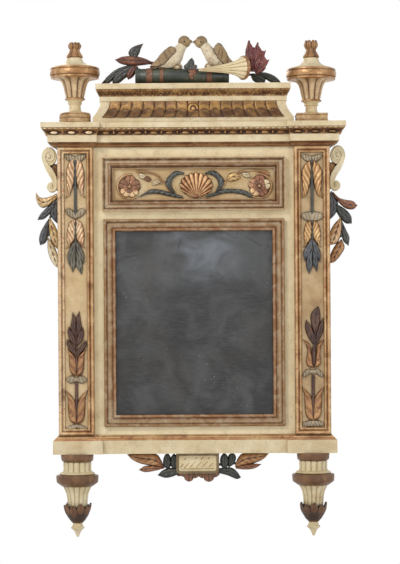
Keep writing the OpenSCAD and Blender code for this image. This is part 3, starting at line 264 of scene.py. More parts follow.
PILASTER_BANDS = ("0 7e5632 0.08 c09866 0.3 ae8050 0.38 8a5c36 0.46 90623a 0.52 b28454 0.72 cca272 "
                  "0.9 a0764c 1 704c2e")
COLOURED = {
    "ivory_frieze": frieze_ground,
    "low_mould": by_height("cornice_low_moulding", (
        "0 4c2e1a 0.14 825834 0.36 a6784e 0.5 845632 0.62 5c3820 0.8 7e542e 0.9 4c2a18 "
        "1 3a2012")),
    "carved_gilt": by_height("cornice_carved_band", (
        "0 a47846 0.1 845a32 0.35 7a502c 0.66 684226 0.74 865e38 "
        "1 b69668")),
    "base_gilt": by_height("base_moulding", (
        "0 80422a 0.1 b07648 0.26 ce9c68 0.4 aa7648 0.52 deba88 0.64 dab684 0.76 96683e "
        "0.88 c49864 1 784e2c")),
    "attic_band_gilt": by_height("attic_carved_band", (
        "0 7c562e 0.12 684224 0.5 764c2a 0.62 5c381e 0.72 8c643a 0.92 966e42 "
        "1 603c22")),
    # leaves darker low on the hollow and paler high up: painted light from above
    "cove_leaf": by_height("attic_leaf_band", (
        "0 704e2e 0.3 624426 0.48 76542e 0.7 8a6638 0.9 7e5a32 "
        "1 684828")),
    # dark at the inner edge, painted shade of the rebate; the dark outer line is partly painted
    # shade
    "glass_bands": by_frame("glass_frame", 36, (
        "0 3e2a1a 0.06 966a46 0.17 9c6e44 0.26 7c502c 0.31 6c4426 0.38 906a42 0.46 987854 "
        "0.54 aa8c68 0.66 ae906a 0.73 8a6640 0.78 74502e 0.86 967046 0.94 a68056 1 704e2e")),
    "frieze_bands": by_frame("frieze_frame", 34, (
        "0 a07a54 0.07 ba9468 0.13 76502e 0.21 805a36 0.28 704c2c 0.34 ac8458 0.39 94724e "
        "0.47 b29676 0.62 baa080 0.69 967a58 0.75 725434 0.85 785838 0.92 a88a64 1 ccb28c")),
    "pilaster_bands_left": lit_side(by_frame("pilaster_moulding_left", 19.5, PILASTER_BANDS),
                                      "pilaster_moulding_left", "f0dab6", 0.5),
    "pilaster_bands_right": by_frame("pilaster_moulding_right", 19.5, PILASTER_BANDS),
}

# Each paint: its colour, the same lighter (also its painted highlight) and darker, the grime (also
# its painted shade in hollows, cuts and along edges) and what shows where it is rubbed; then the
# reach of that grime and painted shade in mm, cracks, wear, roughness from and to, metal, sheen
PAINTS = (
    ("ivory", "decaa2 f0e2c2 c4a878 684a2c", 12, 0.4, 0, 0.42, 0.62, 0, 0,
     dict(dirt=0.5, patchy=0.8)),
    # The next two are brighter copies of the ivory: painted light that offsets the shade of the
    # mouldings on the stiles, rail and frieze board
    ("ivory_field", "f4e2b8 faecc8 dec494 684a2c", 6, 0.4, 0, 0.42, 0.62, 0, 0,
     dict(dirt=0.3, patchy=0.6)),
    ("ivory_frieze", "faecc8 c4a674 684a2c", 6, 0.4, 0, 0.42, 0.62, 0, 0,
     dict(dirt=0.3, patchy=0.5)),
    ("ivory_panel", "d0b284 e2caa0 b08e62 543620", 6, 0.35, 0, 0.42, 0.62, 0, 0),
    # a darker copy of the panel's ivory: painted shade on the right pilaster
    ("ivory_panel_right", "bea076 d2b88e 9e7c54 543620", 6, 0.35, 0, 0.42, 0.62, 0, 0),
    ("ivory_carved", "e0cca0 f2e6c6 ba9e70 5c3e24", 9, 0.3, 0, 0.42, 0.62, 0, 0),
    ("gilt_pale", "cea86c f4daa0 8e643a 3a2214 a07054", 7, 0.2, 0.4, 0.28, 0.46, 0.35, 0,
     dict(depth=0.0004)),
    ("dark_leaf", "343834 565a56 202220 10100e 5c4636", 7, 0, 0.1, 0.26, 0.44, 0, 0.3),
    ("slate_leaf", "46474a 6a6b70 2e2e30 18181a 6e5c4a", 7, 0, 0.15, 0.3, 0.48, 0, 0.2),
    ("brown_leaf", "7a4c32 aa7452 522e1e 24140e b07c54", 7, 0.15, 0.25, 0.28, 0.46, 0, 0.2),
    ("flame", "682a26 a86058 421818 1e0c0c b07068", 6, 0, 0.2, 0.32, 0.48, 0, 0.1),
    ("quiver_green", "2e342a 525846 1a201a 0c0e0c 705e44", 12, 0, 0.25, 0.3, 0.46, 0, 0.15,
     dict(grain=(0.06, 1, 1), fine_scale=300)),
    ("copper", "8a583e c48e6a 5c3624 281610", 12, 0.1, 0, 0.28, 0.44, 0.25, 0),
    ("dove_wing", "9c805c cab088 644e36 30241c 5c4634", 6, 0.2, 0.35, 0.42, 0.62, 0, 0,
     dict(grain=(1, 1, 0.3), fine_scale=320)),
    ("dove_breast", "dac8a8 f2e6ca a08462 4a3624 8c7050", 8, 0.25, 0.3, 0.42, 0.62, 0, 0,
     dict(fine_scale=190, patch_scale=40)),
    ("dove_crown", "8e7656 b49c76 604c38 2a201a 544234", 6, 0.15, 0.3, 0.42, 0.62, 0, 0,
     dict(fine_scale=320)),
    ("dove_face", "aa8e62 ceb68c 7c6242 36281c 6e543c", 5, 0.15, 0.2, 0.42, 0.62, 0, 0,
     dict(fine_scale=320)),
    ("laurel_dark", "30302a 54544a 1e1e1a 0e0d0b 5a402e", 6, 0, 0.15, 0.3, 0.48, 0, 0.15),
    ("laurel_brown", "683824 986244 422218 1e100c 885c3e", 6, 0.1, 0.2, 0.3, 0.48, 0, 0.1),
    ("torch_ivory", "ead6aa f8eccc ccae7c 785634", 8, 0.25, 0, 0.42, 0.62, 0, 0),
    ("torch_rim", "966a42 cca06c 643e24 2c1a10 c8a474", 6, 0.15, 0.3, 0.32, 0.5, 0, 0),
    ("knot_copper", "86543e b88668 563226 241610 aa7e60", 6, 0.1, 0.25, 0.3, 0.48, 0.1, 0),
    ("knot_grey", "5c524e 887a70 3a3230 1a1412 785642", 6, 0, 0.2, 0.3, 0.48, 0, 0),
    ("quiver_copper", "704a34 986c50 462c20 1e140e 464236", 12, 0.1, 0.35, 0.3, 0.46, 0.1, 0,
     dict(grain=(0.08, 1, 1), fine_scale=420)),
    ("eye", "1e1612 3c3028 0e0a08 080605", 12, 0, 0, 0.15, 0.25, 0, 0),
    ("brown_rim", "845a3a b28458 583822 2a180e bc9460", 8, 0.25, 0.2, 0.3, 0.48, 0.15, 0),
    ("low_mould", "b0865a 54321e 2c1a10 6a3824", 12, 0.25, 0.35, 0.3, 0.5, 0.25, 0,
     dict(depth=0.0004)),
    ("carved_gilt", "bc8c52 4e2e1a 362012 6e3c26", 8, 0.2, 0.45, 0.3, 0.5, 0.25, 0,
     dict(depth=0.0004, patch_scale=36)),
    ("boss_gilt", "cea05a f4d08c 966a38 382012 966038", 5, 0.15, 0.35, 0.26, 0.42, 0.35, 0,
     dict(patch_scale=50)),
    ("egg_dull", "8c6238 cca670 644022 341e10 b08450", 5, 0.15, 0.4, 0.28, 0.44, 0.25, 0,
     dict(patch_scale=50)),
    ("egg_gilt", "e8c898 fceacc b48656 6e4228", 5, 0.15, 0, 0.28, 0.44, 0.2, 0),
    ("bead_gilt", "d0b88e ecdab4 96744e 46281a 784830", 6, 0.2, 0.5, 0.3, 0.48, 0.2, 0,
     dict(patch_scale=50)),
    ("base_gilt", "e0be8a 78482c 2c1a10 a86c4a", 12, 0.25, 0.45, 0.3, 0.48, 0.3, 0,
     dict(depth=0.0004)),
    ("attic_band_gilt", "cea46a 462816 2c1a10 cc9e64", 6, 0.2, 0.45, 0.3, 0.5, 0.25, 0,
     dict(depth=0.0004, patch_scale=40)),
    ("cove_leaf", "bc9052 4e321c 382012 764228", 8, 0.2, 0.4, 0.3, 0.48, 0.3, 0,
     dict(depth=0.0005, patch_scale=30)),
    ("cove_ground", "563422 785032 3c2016 22120c", 8, 0.2, 0, 0.4, 0.6, 0.15, 0),
    ("gilt_dark", "6e4628 a47242 422616 2c1a10", 6, 0.35, 0, 0.34, 0.52, 0.25, 0),
    ("gilt_band", "a87a4c e4ba86 70482a 2e1a0e 865636", 6, 0.2, 0.35, 0.26, 0.42, 0.4, 0,
     dict(depth=0.0004, patch_scale=30)),
    ("calyx", "624028 926640 3a2418 140d08 86603e", 10, 0.15, 0.25, 0.38, 0.56, 0, 0),
    ("drop_brown", "704c2e 966e48 4e321e 22140c 967048", 10, 0.3, 0.2, 0.36, 0.54, 0, 0,
     dict(patch_scale=30)),
    ("drop_ivory", "d8c498 eee0be b89c6e 684a2c", 10, 0.35, 0, 0.42, 0.62, 0, 0),
    ("urn_flute", "ba9870 e8cca0 8c6848 3e2618 9e765c", 6, 0.15, 0.35, 0.28, 0.46, 0.3, 0,
     dict(patch_scale=30)),
    ("urn_base", "b49064 e0c090 86623c 3c2616 8c5c3c", 6, 0.3, 0.5, 0.3, 0.48, 0.2, 0,
     dict(patch_scale=40)),
    ("bud_gilt", "92663e c49664 623e24 28180e 6e482e", 6, 0.15, 0.3, 0.3, 0.48, 0.2, 0,
     dict(patch_scale=40)),
    ("calyx_dark", "3a281c 523a28 221812 100c08", 8, 0, 0, 0.4, 0.6, 0, 0),
    ("silver_leaf", "dac69e f6eacc a28258 3e2c1c b0865c", 6, 0.2, 0.35, 0.28, 0.46, 0.3, 0),
    ("peach_leaf", "b27c58 deb088 7a4e32 321c12 884e34", 7, 0.2, 0.4, 0.28, 0.46, 0.15, 0),
    ("petal_brown", "704832 a07250 482c1e 22140e a87c5a", 6, 0.15, 0.35, 0.3, 0.48, 0, 0),
    ("petal_gold", "d6a876 f6d8aa a06c46 422416 a06442", 6, 0.15, 0.3, 0.28, 0.46, 0.2, 0),
    ("petal_cream", "d6be94 eedcb8 a0805c 40281a 8c6242", 6, 0.2, 0.35, 0.32, 0.5, 0, 0),
    ("scroll_ivory", "e4d4ac f6ecd0 c6b286 8a6c44", 5, 0.2, 0, 0.42, 0.62, 0, 0, dict(dirt=0.6)),
    ("scroll_brown", "704a2c ba905e 482a1a 24140c a87c4c", 8, 0.1, 0.35, 0.32, 0.5, 0.15, 0),
    ("pendant_gilt", "9e6a40 daae7a 683e26 2c1810 925438", 7, 0.15, 0.4, 0.3, 0.48, 0.2, 0,
     dict(patch_scale=34)),
    ("gilt_side", "c6a06a f4deb2 86623a 382214 a47046", 7, 0.2, 0.35, 0.28, 0.46, 0.3, 0,
     dict(patch_scale=30)),
    ("pendant_dark", "212520 3e4238 141714 0c0d0b 544632", 7, 0, 0.15, 0.3, 0.46, 0, 0.2),
    ("shell_gilt", "a67448 e8be8c 704628 402212 965634", 6, 0.15, 0.3, 0.26, 0.42, 0.35, 0,
     dict(depth=0.0003, patch_scale=40)),
    ("frieze_green", "3c3e3a 666860 262624 141311 645642", 6, 0, 0.15, 0.28, 0.46, 0, 0.25),
    ("stem_gilt", "a67c50 deb888 704a2c 382012 7c4e32", 5, 0.1, 0.3, 0.28, 0.46, 0.2, 0),
    ("olive_leaf", "5c584c 8a8470 3c3830 1a1612 745c42", 7, 0, 0.15, 0.3, 0.48, 0, 0.15),
    ("cup_olive", "98886e c4b496 6e5c44 342418 78583c", 6, 0.1, 0.3, 0.34, 0.52, 0.1, 0),
    ("gilt_rose_leaf", "cea276 f8deb6 966442 3a2014 a4644a", 6, 0.2, 0.4, 0.28, 0.46, 0.3, 0,
     dict(depth=0.0004)),
    ("gilt_leaf", "bc8c58 eeca92 8a5c34 3a2012 aa6a3e", 6, 0.2, 0.4, 0.28, 0.46, 0.3, 0,
     dict(depth=0.0004)),
    ("aubergine", "4c3026 704e3e 2e1e1a 160d0a 785038", 7, 0.1, 0.25, 0.34, 0.52, 0, 0),
    ("tulip_gilt", "9a6a42 cc9e6c 68402a 381a16 703a2e", 6, 0.2, 0.4, 0.28, 0.46, 0.2, 0,
     dict(depth=0.0004, patch_scale=30)),
    ("tablet_frame", "7c6848 a89470 54422c 281e14 886446", 8, 0.25, 0.4, 0.3, 0.5, 0.25, 0),
    ("glass_bands", "ccbca0 704624 2c1a10 965c36", 8, 0.3, 0.2, 0.28, 0.48, 0.3, 0,
     dict(patch_scale=48, patchy=0.6, depth=0.0004)),
    ("frieze_bands", "ccbca0 704624 2c1a10 a66842", 8, 0.3, 0.2, 0.3, 0.5, 0.3, 0,
     dict(patch_scale=48, patchy=0.6, depth=0.0004)),
    *((f"pilaster_bands_{side}", "e4c292 704624 2c1a10 a86442", 4, 0.25, 0.35, 0.28, 0.46, 0.35, 0,
       dict(dirt=0.3, patch_scale=26, depth=0.0004)) for side in ("left", "right")),
)


def wood(name, pale, dark, grain):
    """Old bare wood with its grain along the long way, and grime and painted shade in its hollows.
    """
    s = Shader(name)
    rings = s.noise(110, 8.0, grain, distortion=1.4)
    fibre = s.noise(900, 4.0, grain)
    tone = s.colours(s.ramp(rings, 0.32, 0.68), f"0 {dark} 0.45 {pale} 0.55 {dark} 1 {pale}")
    tone = s.mix(s.ramp(fibre, 0.5, 0.75, 0.0, 0.45), tone, srgb(dark))
    tone = s.mix(s.ramp(s.noise(9, 4.0), 0.50, 0.68, 0.0, 0.6), tone, srgb("463222"))
    # darker in the hollows from ambient occlusion: grime and painted shade
    tone = s.mix(s.times(s.hollows(0.02), 0.8), tone, srgb("261a12"))
    return s.finish(tone, s.maths("ADD", rings, fibre), 0.0005, s.ramp(fibre, 0.3, 0.7, 0.62, 0.82))


def iron():
    """Forged iron with rust, and grime and painted shade in its hollows."""
    s = Shader("iron")
    rust = s.noise(160, 8.0, distortion=0.8)
    tone = s.colours(s.ramp(rust, 0.36, 0.66), "0 2e2a28 0.5 463a32 0.75 70422a 1 8c5432")
    # darker in the hollows from ambient occlusion: grime and painted shade
    tone = s.mix(s.times(s.hollows(0.006), 0.8), tone, srgb("140f0c"))
    return s.finish(tone, rust, 0.0005, s.ramp(rust, 0.35, 0.65, 0.38, 0.75), metal=0.7)


def plate():
    """Old silvering behind glass with a painted reflection of a dim room: nearly black, lighter
    towards the top and with a pale cloud high up; its own scratches and specks.
    """
    s = Shader("plate")
    low, high = box_mm("mirror_glass")
    share = s.ramp(s.axis("Z"), level(low[1]), level(high[1]))
    # painted reflection of the dim room: darker towards the bottom, lighter towards the top
    tone = s.colours(share, "0 252424 0.45 2b2b2b 0.7 353535 0.76 434445 1 4e4f50")
    haze = s.noise(9.0, 9.0, distortion=0.8)
    tone = s.mix(s.ramp(haze, 0.44, 0.66, 0.0, 0.40), tone, srgb("626262"))
    tone = s.mix(s.ramp(haze, 0.42, 0.26, 0.0, 0.60), tone, srgb("1e1d1d"))
    # painted reflection: a pale cloud high up in the middle
    inward = s.ramp(s.off(s.axis("X"), 0.02), 0.15, 0.02)
    cloud = s.noise(11.0, 9.0, (1.0, 1.0, 1.3), distortion=0.7)
    veil = s.times(s.times(s.ramp(share, 0.66, 0.88), inward), s.ramp(cloud, 0.38, 0.62))
    tone = s.mix(s.times(veil, 0.78), tone, srgb("848a92"))
    wisp = s.noise(34, 9.0, (0.5, 1.0, 1.3), distortion=0.7)
    tone = s.mix(s.ramp(wisp, 0.54, 0.70, 0.0, 0.14), tone, srgb("686766"))
    grain = s.noise(110, 8.0, (0.35, 1.0, 2.4))
    tone = s.mix(s.ramp(grain, 0.46, 0.68, 0.0, 0.22), tone, srgb("606060"))
    tone = s.mix(s.ramp(s.noise(5.0, 4.0), 0.48, 0.62, 0.0, 0.30), tone, srgb("3e362e"))
    scratch = s.times(s.ramp(s.cells(9, (1.0, 1.0, 0.35)), 0.0, 0.008, 1.0, 0.0),
                      s.ramp(s.noise(20, 4.0), 0.50, 0.60, 0.0, 0.6))
    tone = s.mix(scratch, tone, srgb("181717"))
    specks = s.times(s.ramp(s.noise(300, 2.0), 0.72, 0.76), s.ramp(s.noise(9, 3.0), 0.54, 0.62))
    tone = s.mix(specks, tone, srgb("ceccc8"))
    rim = s.maths("MAXIMUM", s.ramp(s.off(s.axis("X"), 0.0), 0.205, 0.232),
                  s.ramp(s.off(share, 0.5), 0.44, 0.49))
    lost = s.times(rim, s.ramp(s.noise(40, 6.0), 0.40, 0.60, 0.0, 0.65))
    tone = s.mix(lost, tone, srgb("241e1a"))
    return s.finish(tone, wisp, 0.00003, s.ramp(wisp, 0.4, 0.7, 0.18, 0.24), metal=0.25, sheen=0.30)


materials = {"bare_wood": wood("bare_wood", "967048", "6a4a2e", (1, 1, 0.08)),
             "rail_wood": wood("rail_wood", "8c6842", "60442a", (0.08, 1, 1)),
             "iron": iron(), "plate": plate()}
for name, tones, reach, cracks, wear, smooth, dull, metal, sheen, *more in PAINTS:
    tones = [srgb(code) for code in tones.split()]
    if name in COLOURED:
        tones.insert(0, COLOURED[name])
    if len(tones) < 5:
        tones.append(None)
    materials[name] = aged(name, *tones, reach * MM, cracks, wear, (smooth, dull), metal, sheen,
                           **(more[0] if more else {}))


# Mesh building. A piece is drawn in millimetres: x from the middle, level above the plinth's
# underside, and depth out of the wall.

SHARP_DEGREES = 42      # edges of a piece that turn more than this look sharp
BEVEL_DEGREES = 35      # edges of the frame's solids that turn more than this are rounded


def unit(angle):
    """Direction of an angle in degrees."""
    a = math.radians(angle)
    return Vector((math.cos(a), math.sin(a)))


def on_circle(centre, radii, angle):
    """Point of an ellipse at an angle in degrees."""
    a = math.radians(angle)
    return centre[0] + radii[0] * math.cos(a), centre[1] + radii[1] * math.sin(a)


def spline(points, each=6):
    """Smooth curve through given points of any size."""
    rows = [Vector(p) for p in points]
    rows = [rows[0] * 2 - rows[1]] + rows + [rows[-1] * 2 - rows[-2]]
    out = []
    for a, b, c, d in zip(rows, rows[1:], rows[2:], rows[3:]):
        for k in range(each):
            t = k / each
            out.append(0.5 * (2 * b + (c - a) * t + (2 * a - 5 * b + 4 * c - d) * t * t
                              + (3 * b - a - 3 * c + d) * t ** 3))
    out.append(rows[-2])
    return out


def fluted(flutes, a):
    """How deep in a flute an angle lies, from 0 to 1."""
    return 1 - abs(math.sin(flutes * a / 2)) ** 0.7 if flutes else 0


class Piece:
    """Faces of one piece in several materials."""

    def __init__(self, name, slot, replaces=None):
        self.name, self.slot, self.replaces = name, slot, replaces
        self.mats, self.points, self.faces, self.kinds, self.relief = [], [], [], [], []

    def skin(self, rows, kind, closed=True, ends=True, relief=None):
        """Faces between rows of equally many points, each row a ring when closed."""
        if kind not in self.mats:
            self.mats.append(kind)
        base, n, made = len(self.points), len(rows[0]), len(self.faces)
        self.points += [Vector(p) for row in rows for p in row]
        self.relief += [v for row in relief for v in row] if relief else [0.0] * (n * len(rows))
        for i in range(len(rows) - 1):
            for k in range(n if closed else n - 1):
                a, b = base + i * n + k, base + i * n + (k + 1) % n
                self.faces.append((a, b, b + n, a + n))
        if closed and ends:
            last = base + (len(rows) - 1) * n
            self.faces.append(tuple(base + k for k in reversed(range(n))))
            self.faces.append(tuple(last + k for k in range(n)))
        self.kinds += [self.mats.index(kind)] * (len(self.faces) - made)

    def tube(self, points, radii, kind, sides=10, flat=1.0):
        """Round or flattened tube along a curve in space; flat squeezes it towards the wall."""
        pts = [Vector(p) for p in points]
        rows = []
        for i, p in enumerate(pts):
            run = (pts[min(i + 1, len(pts) - 1)] - pts[max(i - 1, 0)]).normalized()
            side = run.cross(Vector((0, 0, 1)))
            if side.length < 0.05:
                side = Vector((1, 0, 0)) if abs(run.x) < 0.9 else Vector((0, 1, 0))
            side.normalize()
            out = side.cross(run).normalized()
            r = radii(i / (len(pts) - 1)) if callable(radii) else radii[i]
            rows.append([p + side * (r * math.cos(a)) + out * (r * flat * math.sin(a))
                         for a in (2 * math.pi * k / sides for k in range(sides))])
        self.skin(rows, kind)

    def lathe(self, rows, kind, sides=64, centre=(0, 0), flutes=0, cut=0.0, shade=None, ends=True):
        """Turned body on an upright axis, through pairs of level and radius."""
        rings, marks = [], []
        for z, r in rows:
            ring, mark = [], []
            for k in range(sides):
                a = 2 * math.pi * k / sides
                beat = fluted(flutes, a)
                w = r - cut * beat
                ring.append((centre[0] + w * math.cos(a), z, centre[1] - w * math.sin(a)))
                mark.append(shade(beat) if shade else 0.0)
            rings.append(ring)
            marks.append(mark)
        self.skin(rings, kind, ends=ends, relief=marks)

    def ball(self, centre, radii, kind, sides=14, rings=9):
        """Ellipsoid."""
        rows = []
        for i in range(rings + 1):
            a = math.pi * (0.02 + 0.96 * i / rings)
            rows.append([(centre[0] + radii[0] * math.sin(a) * math.cos(b),
                          centre[1] + radii[1] * math.sin(a) * math.sin(b),
                          centre[2] - radii[2] * math.cos(a))
                         for b in (2 * math.pi * k / sides for k in range(sides))])
        self.skin(rows, kind)

    def slab(self, outline, back, front, kind, edge=1.0, dome=0.0):
        """Flat piece of an outline in the plane of the wall, with a softened front edge."""
        n = len(outline)
        middle = Vector((sum(p[0] for p in outline) / n, sum(p[1] for p in outline) / n))
        rows = []
        profile = ((0, back), (0, front - edge), (edge * 0.3, front - edge * 0.3), (edge, front))
        for inset, z in profile:
            row = []
            for p in outline:
                away = Vector(p) - middle
                v = Vector(p) - away.normalized() * min(inset, away.length * 0.5)
                row.append((v.x, v.y, z))
            rows.append(row)
        if dome:
            for share in (0.66, 0.33, 0.08):
                rows.append([(middle.x + (r[0] - middle.x) * share,
                              middle.y + (r[1] - middle.y) * share,
                              front + dome * (1 - share ** 2)) for r in rows[3]])
        self.skin(rows, kind)

    def make(self):
        """Turns the gathered faces into an object of the scene."""
        mesh = bpy.data.meshes.new(self.name)
        mesh.from_pydata([(p.x * MM, -p.z * MM, level(p.y)) for p in self.points], [], self.faces)
        for key in self.mats:
            mesh.materials.append(materials[key])
        mesh.polygons.foreach_set("material_index", self.kinds)
        # relief shading per point: painted highlight above 0, painted shade below 0, read by the
        # materials
        mesh.attributes.new("relief", "FLOAT", "POINT").data.foreach_set("value", self.relief)
        work = bmesh.new()
        work.from_mesh(mesh)
        bmesh.ops.recalc_face_normals(work, faces=work.faces)
        work.to_mesh(mesh)
        work.free()
        mesh.polygons.foreach_set("use_smooth", [True] * len(mesh.polygons))
        mesh.set_sharp_from_angle(angle=math.radians(SHARP_DEGREES))
        thing = bpy.data.objects.new(self.name, mesh)
        bpy.context.collection.objects.link(thing)
        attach(thing, "case")
        if self.replaces:
            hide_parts(self.replaces)


def finish_node(material, *nodes, bevel=0.0):
    """Gives solids of the frame their material, and edges rounded as by paint and wear."""
    for node in nodes:
        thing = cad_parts[node]
        thing.data.materials.clear()
        thing.data.materials.append(materials[material])
        for slot in thing.material_slots:
            slot.link = "DATA"
        if bevel:
            modifier = thing.modifiers.new("soft edges", "BEVEL")
            modifier.width = bevel * MM
            modifier.segments = 3
            modifier.limit_method = "ANGLE"
            modifier.angle_limit = math.radians(BEVEL_DEGREES)


# Levels and places, taken from the frame

CASE_HALF = -box_mm("pilaster_left")[0][0]
PILASTER_IN = box_mm("pilaster_right")[0][0]
PILASTER_X = (CASE_HALF + PILASTER_IN) / 2
PILASTER_D = box_mm("pilaster_right")[1][2]
FIELD_D = box_mm("frieze_board")[1][2]
CORNICE_TOP = box_mm("cornice_top_board")[1][1]
CREST_Z = box_mm("attic_cap")[1][1]
CREST_D = 62        # how far the middle plane of the crest stands from the wall


# Leaves between two edges

HIDDEN = -1.2       # relief shading at the back of a leaf: painted shade, all in the grime colour


def resampled(points, count):
    """Evenly spread points along a polyline."""
    rows = [Vector(p) for p in points]
    runs = [0.0]
    for a, b in zip(rows, rows[1:]):
        runs.append(runs[-1] + (b - a).length)
    out, k = [], 0
    for i in range(count):
        want = runs[-1] * i / (count - 1)
        while k < len(runs) - 2 and runs[k + 1] < want:
            k += 1
        share = (want - runs[k]) / max(1e-9, runs[k + 1] - runs[k])
        out.append(rows[k].lerp(rows[k + 1], min(1, max(0, share))))
    return out


def carving_shade(v, half, rib, beat=0.0, vein=0.0):
    """Painted light and shade across a leaf: dark along the edges and the midrib, lighter and darker
    on the veins between.
    """
    mark = vein * beat * (1 - abs(v) ** 4)
    if rib:
        mark -= 1.1 * min(1, half / 5) * hump(v, 0, 0.11)
    return mark - 1.5 * max(0.0, (abs(v) - 0.78) / 0.22) ** 1.3


def petal(piece, edge_a, edge_b, depth, kind, rise=6.0, back=4.0, rib=0.0, veins=0, vein=0.8,
          slant=0.9, lift=0.0, steps=22, across=12, ink=0.45):
    """Carved leaf between two given edges that both run from the root to the tip.

    With a rib it is a whole leaf whose veins meet in the middle, else half of a larger one.
    """
    a_line, b_line = (resampled(spline(edge, 6), steps + 1) for edge in (edge_a, edge_b))
    chord = a_line[-1] - a_line[0]
    square = Vector((-chord.y, chord.x)).normalized() * 0.15
    rows, marks = [], []
    for i in range(steps + 1):
        s = i / steps
        a, b = a_line[i], b_line[i]
        if (a - b).length < 0.3:
            a, b = (a + b) / 2 - square, (a + b) / 2 + square
        half = (a - b).length / 2
        crown = min(rise, 0.25 * rise + half * 0.84)
        ring, mark = [], []
        for k in range(across + 1):
            t = k / across
            v = 2 * t - 1
            beat = 0.0
            if veins:
                beat = math.cos(2 * math.pi * (veins * s - slant * (abs(v) if rib else t)))
            z = crown * (1 - abs(v) ** 2.4) ** 0.6
            z -= rib * min(1, half / 6) * hump(v, 0, 0.18)
            z += vein * min(1, half / 5) * beat * (1 - abs(v) ** 6)
            point = a.lerp(b, t)
            ring.append((point.x, point.y, depth + back + z + lift * s * s))
            # painted shade on the edges and midrib, with painted highlight and shade along the veins
            mark.append(carving_shade(v, half, rib, beat, ink if veins else 0.0))
        ring += [(b.x, b.y, depth + lift * s * s), (a.x, a.y, depth + lift * s * s)]
        rows.append(ring)
        marks.append(mark + [HIDDEN] * 2)
    piece.skin(rows, kind, relief=marks)


def pair_of_petals(piece, x, edge_a, edge_b, depth, **more):
    """Two halves about an upright line."""
    for flip in (-1, 1):
        petal(piece, *([(x + flip * p[0], p[1]) for p in edge] for edge in (edge_a, edge_b)), depth,
              **more)


# The case and the plain mouldings keep their solids and get materials

def dress_case():
    finish_node("ivory_frieze", "frieze_board", bevel=1.4)
    finish_node("ivory_field", "stile_left", "stile_right", "bottom_rail", bevel=1.4)
    finish_node("ivory", "case_side_left", "case_side_right", "attic_plinth", "attic_cap",
                "attic_cove", "cornice_fascia", "cornice_top_board", "plinth", bevel=1.4)
    finish_node("ivory_panel", "pilaster_left")
    finish_node("ivory_panel_right", "pilaster_right")
    finish_node("rail_wood", "hanging_rail", bevel=1.0)
    finish_node("bare_wood", "back_boards", "plate_wedges", bevel=0.8)
    finish_node("iron", "board_nails", "hanger_plates", "hanger_nails", "hanger_ring_left",
                "hanger_ring_right")
    finish_node("plate", "mirror_glass")
    finish_node("glass_bands", "glass_frame")
    finish_node("frieze_bands", "frieze_frame")
    finish_node("pilaster_bands_left", "pilaster_moulding_left")
    finish_node("pilaster_bands_right", "pilaster_moulding_right")


# Carved and plain mouldings with a swept profile

def stepped_outline(out, inn):
    """Plan of a layer that breaks forward over the pilasters, as x and depth."""
    half = [(CASE_HALF + out, 0), (CASE_HALF + out, PILASTER_D + out),
            (PILASTER_IN - inn, PILASTER_D + out), (PILASTER_IN - inn, FIELD_D + out)]
    return [(-x, d) for x, d in half] + half[::-1]


def plain_outline(half, depth):
    """Plan of a layer without breaks."""
    return [(-half, 0), (-half, depth), (half, depth), (half, 0)]


def moulding(name, node, kind, outlines, inner, levels, pitch, carve=None):
    """Layer swept round a plan: one outline for each level, with carving along its length."""
    counts = [max(1, round((Vector(b) - Vector(a)).length / pitch))
              for a, b in zip(outlines[0], outlines[0][1:])]
    rings, marks = [], []

    def spread(outline, z, row=None):
        ring, mark = [], []
        for a, b, count in zip(outline, outline[1:], counts):
            a, b = Vector(a), Vector(b)
            inward = Vector(((a - b).y, (b - a).x)).normalized()
            length = (b - a).length
            for i in range(count):
                cut = 0.0
                if carve and i and row is not None:
                    cut = carve((i / count - 0.5) * length, length, row)
                point = a.lerp(b, i / count) + inward * cut
                ring.append((point.x, z, point.y))
                # painted light and shade of the carving: paler where a cut is shallow, darker where
                # it is deep
                mark.append(0.4 + 0.45 * cut if cut else 0.0)
        rings.append(ring + [(outline[-1][0], z, outline[-1][1])])
        marks.append(mark + [0.0])

    spread(inner, levels[0])
    for row, outline in enumerate(outlines):
        spread(outline, levels[row], row)
    spread(inner, levels[-1])
    piece = Piece(name, "gilding", node)
    piece.skin(rings, kind, closed=False, relief=marks)
    n = len(rings[0])
    for k in (0, n - 1):
        piece.faces.append(tuple(r * n + k for r in range(len(rings))))
        piece.kinds.append(0)
    piece.make()


def cyma(s):
    """S curve of a moulding, from 0 to 1."""
    return 0.5 - 0.5 * math.cos(math.pi * s)


def hump(s, middle, width):
    """Bell curve that is 1 in its middle."""
    return math.exp(-((s - middle) / width) ** 2)


def swept(name, node, kind, steps, profile, inner, pitch, carve=None, plan=stepped_outline):
    """Moulding over the height of a node, whose plan's two sizes the profile gives by height."""
    low, high = box_mm(node)
    shares = [i / steps for i in range(steps + 1)]
    moulding(name, node, kind, [plan(*profile(s)) for s in shares], inner,
             [low[1] + (high[1] - low[1]) * s for s in shares], pitch, carve)


EGG_PITCH, BEAD_PITCH = 46.0, 16.5


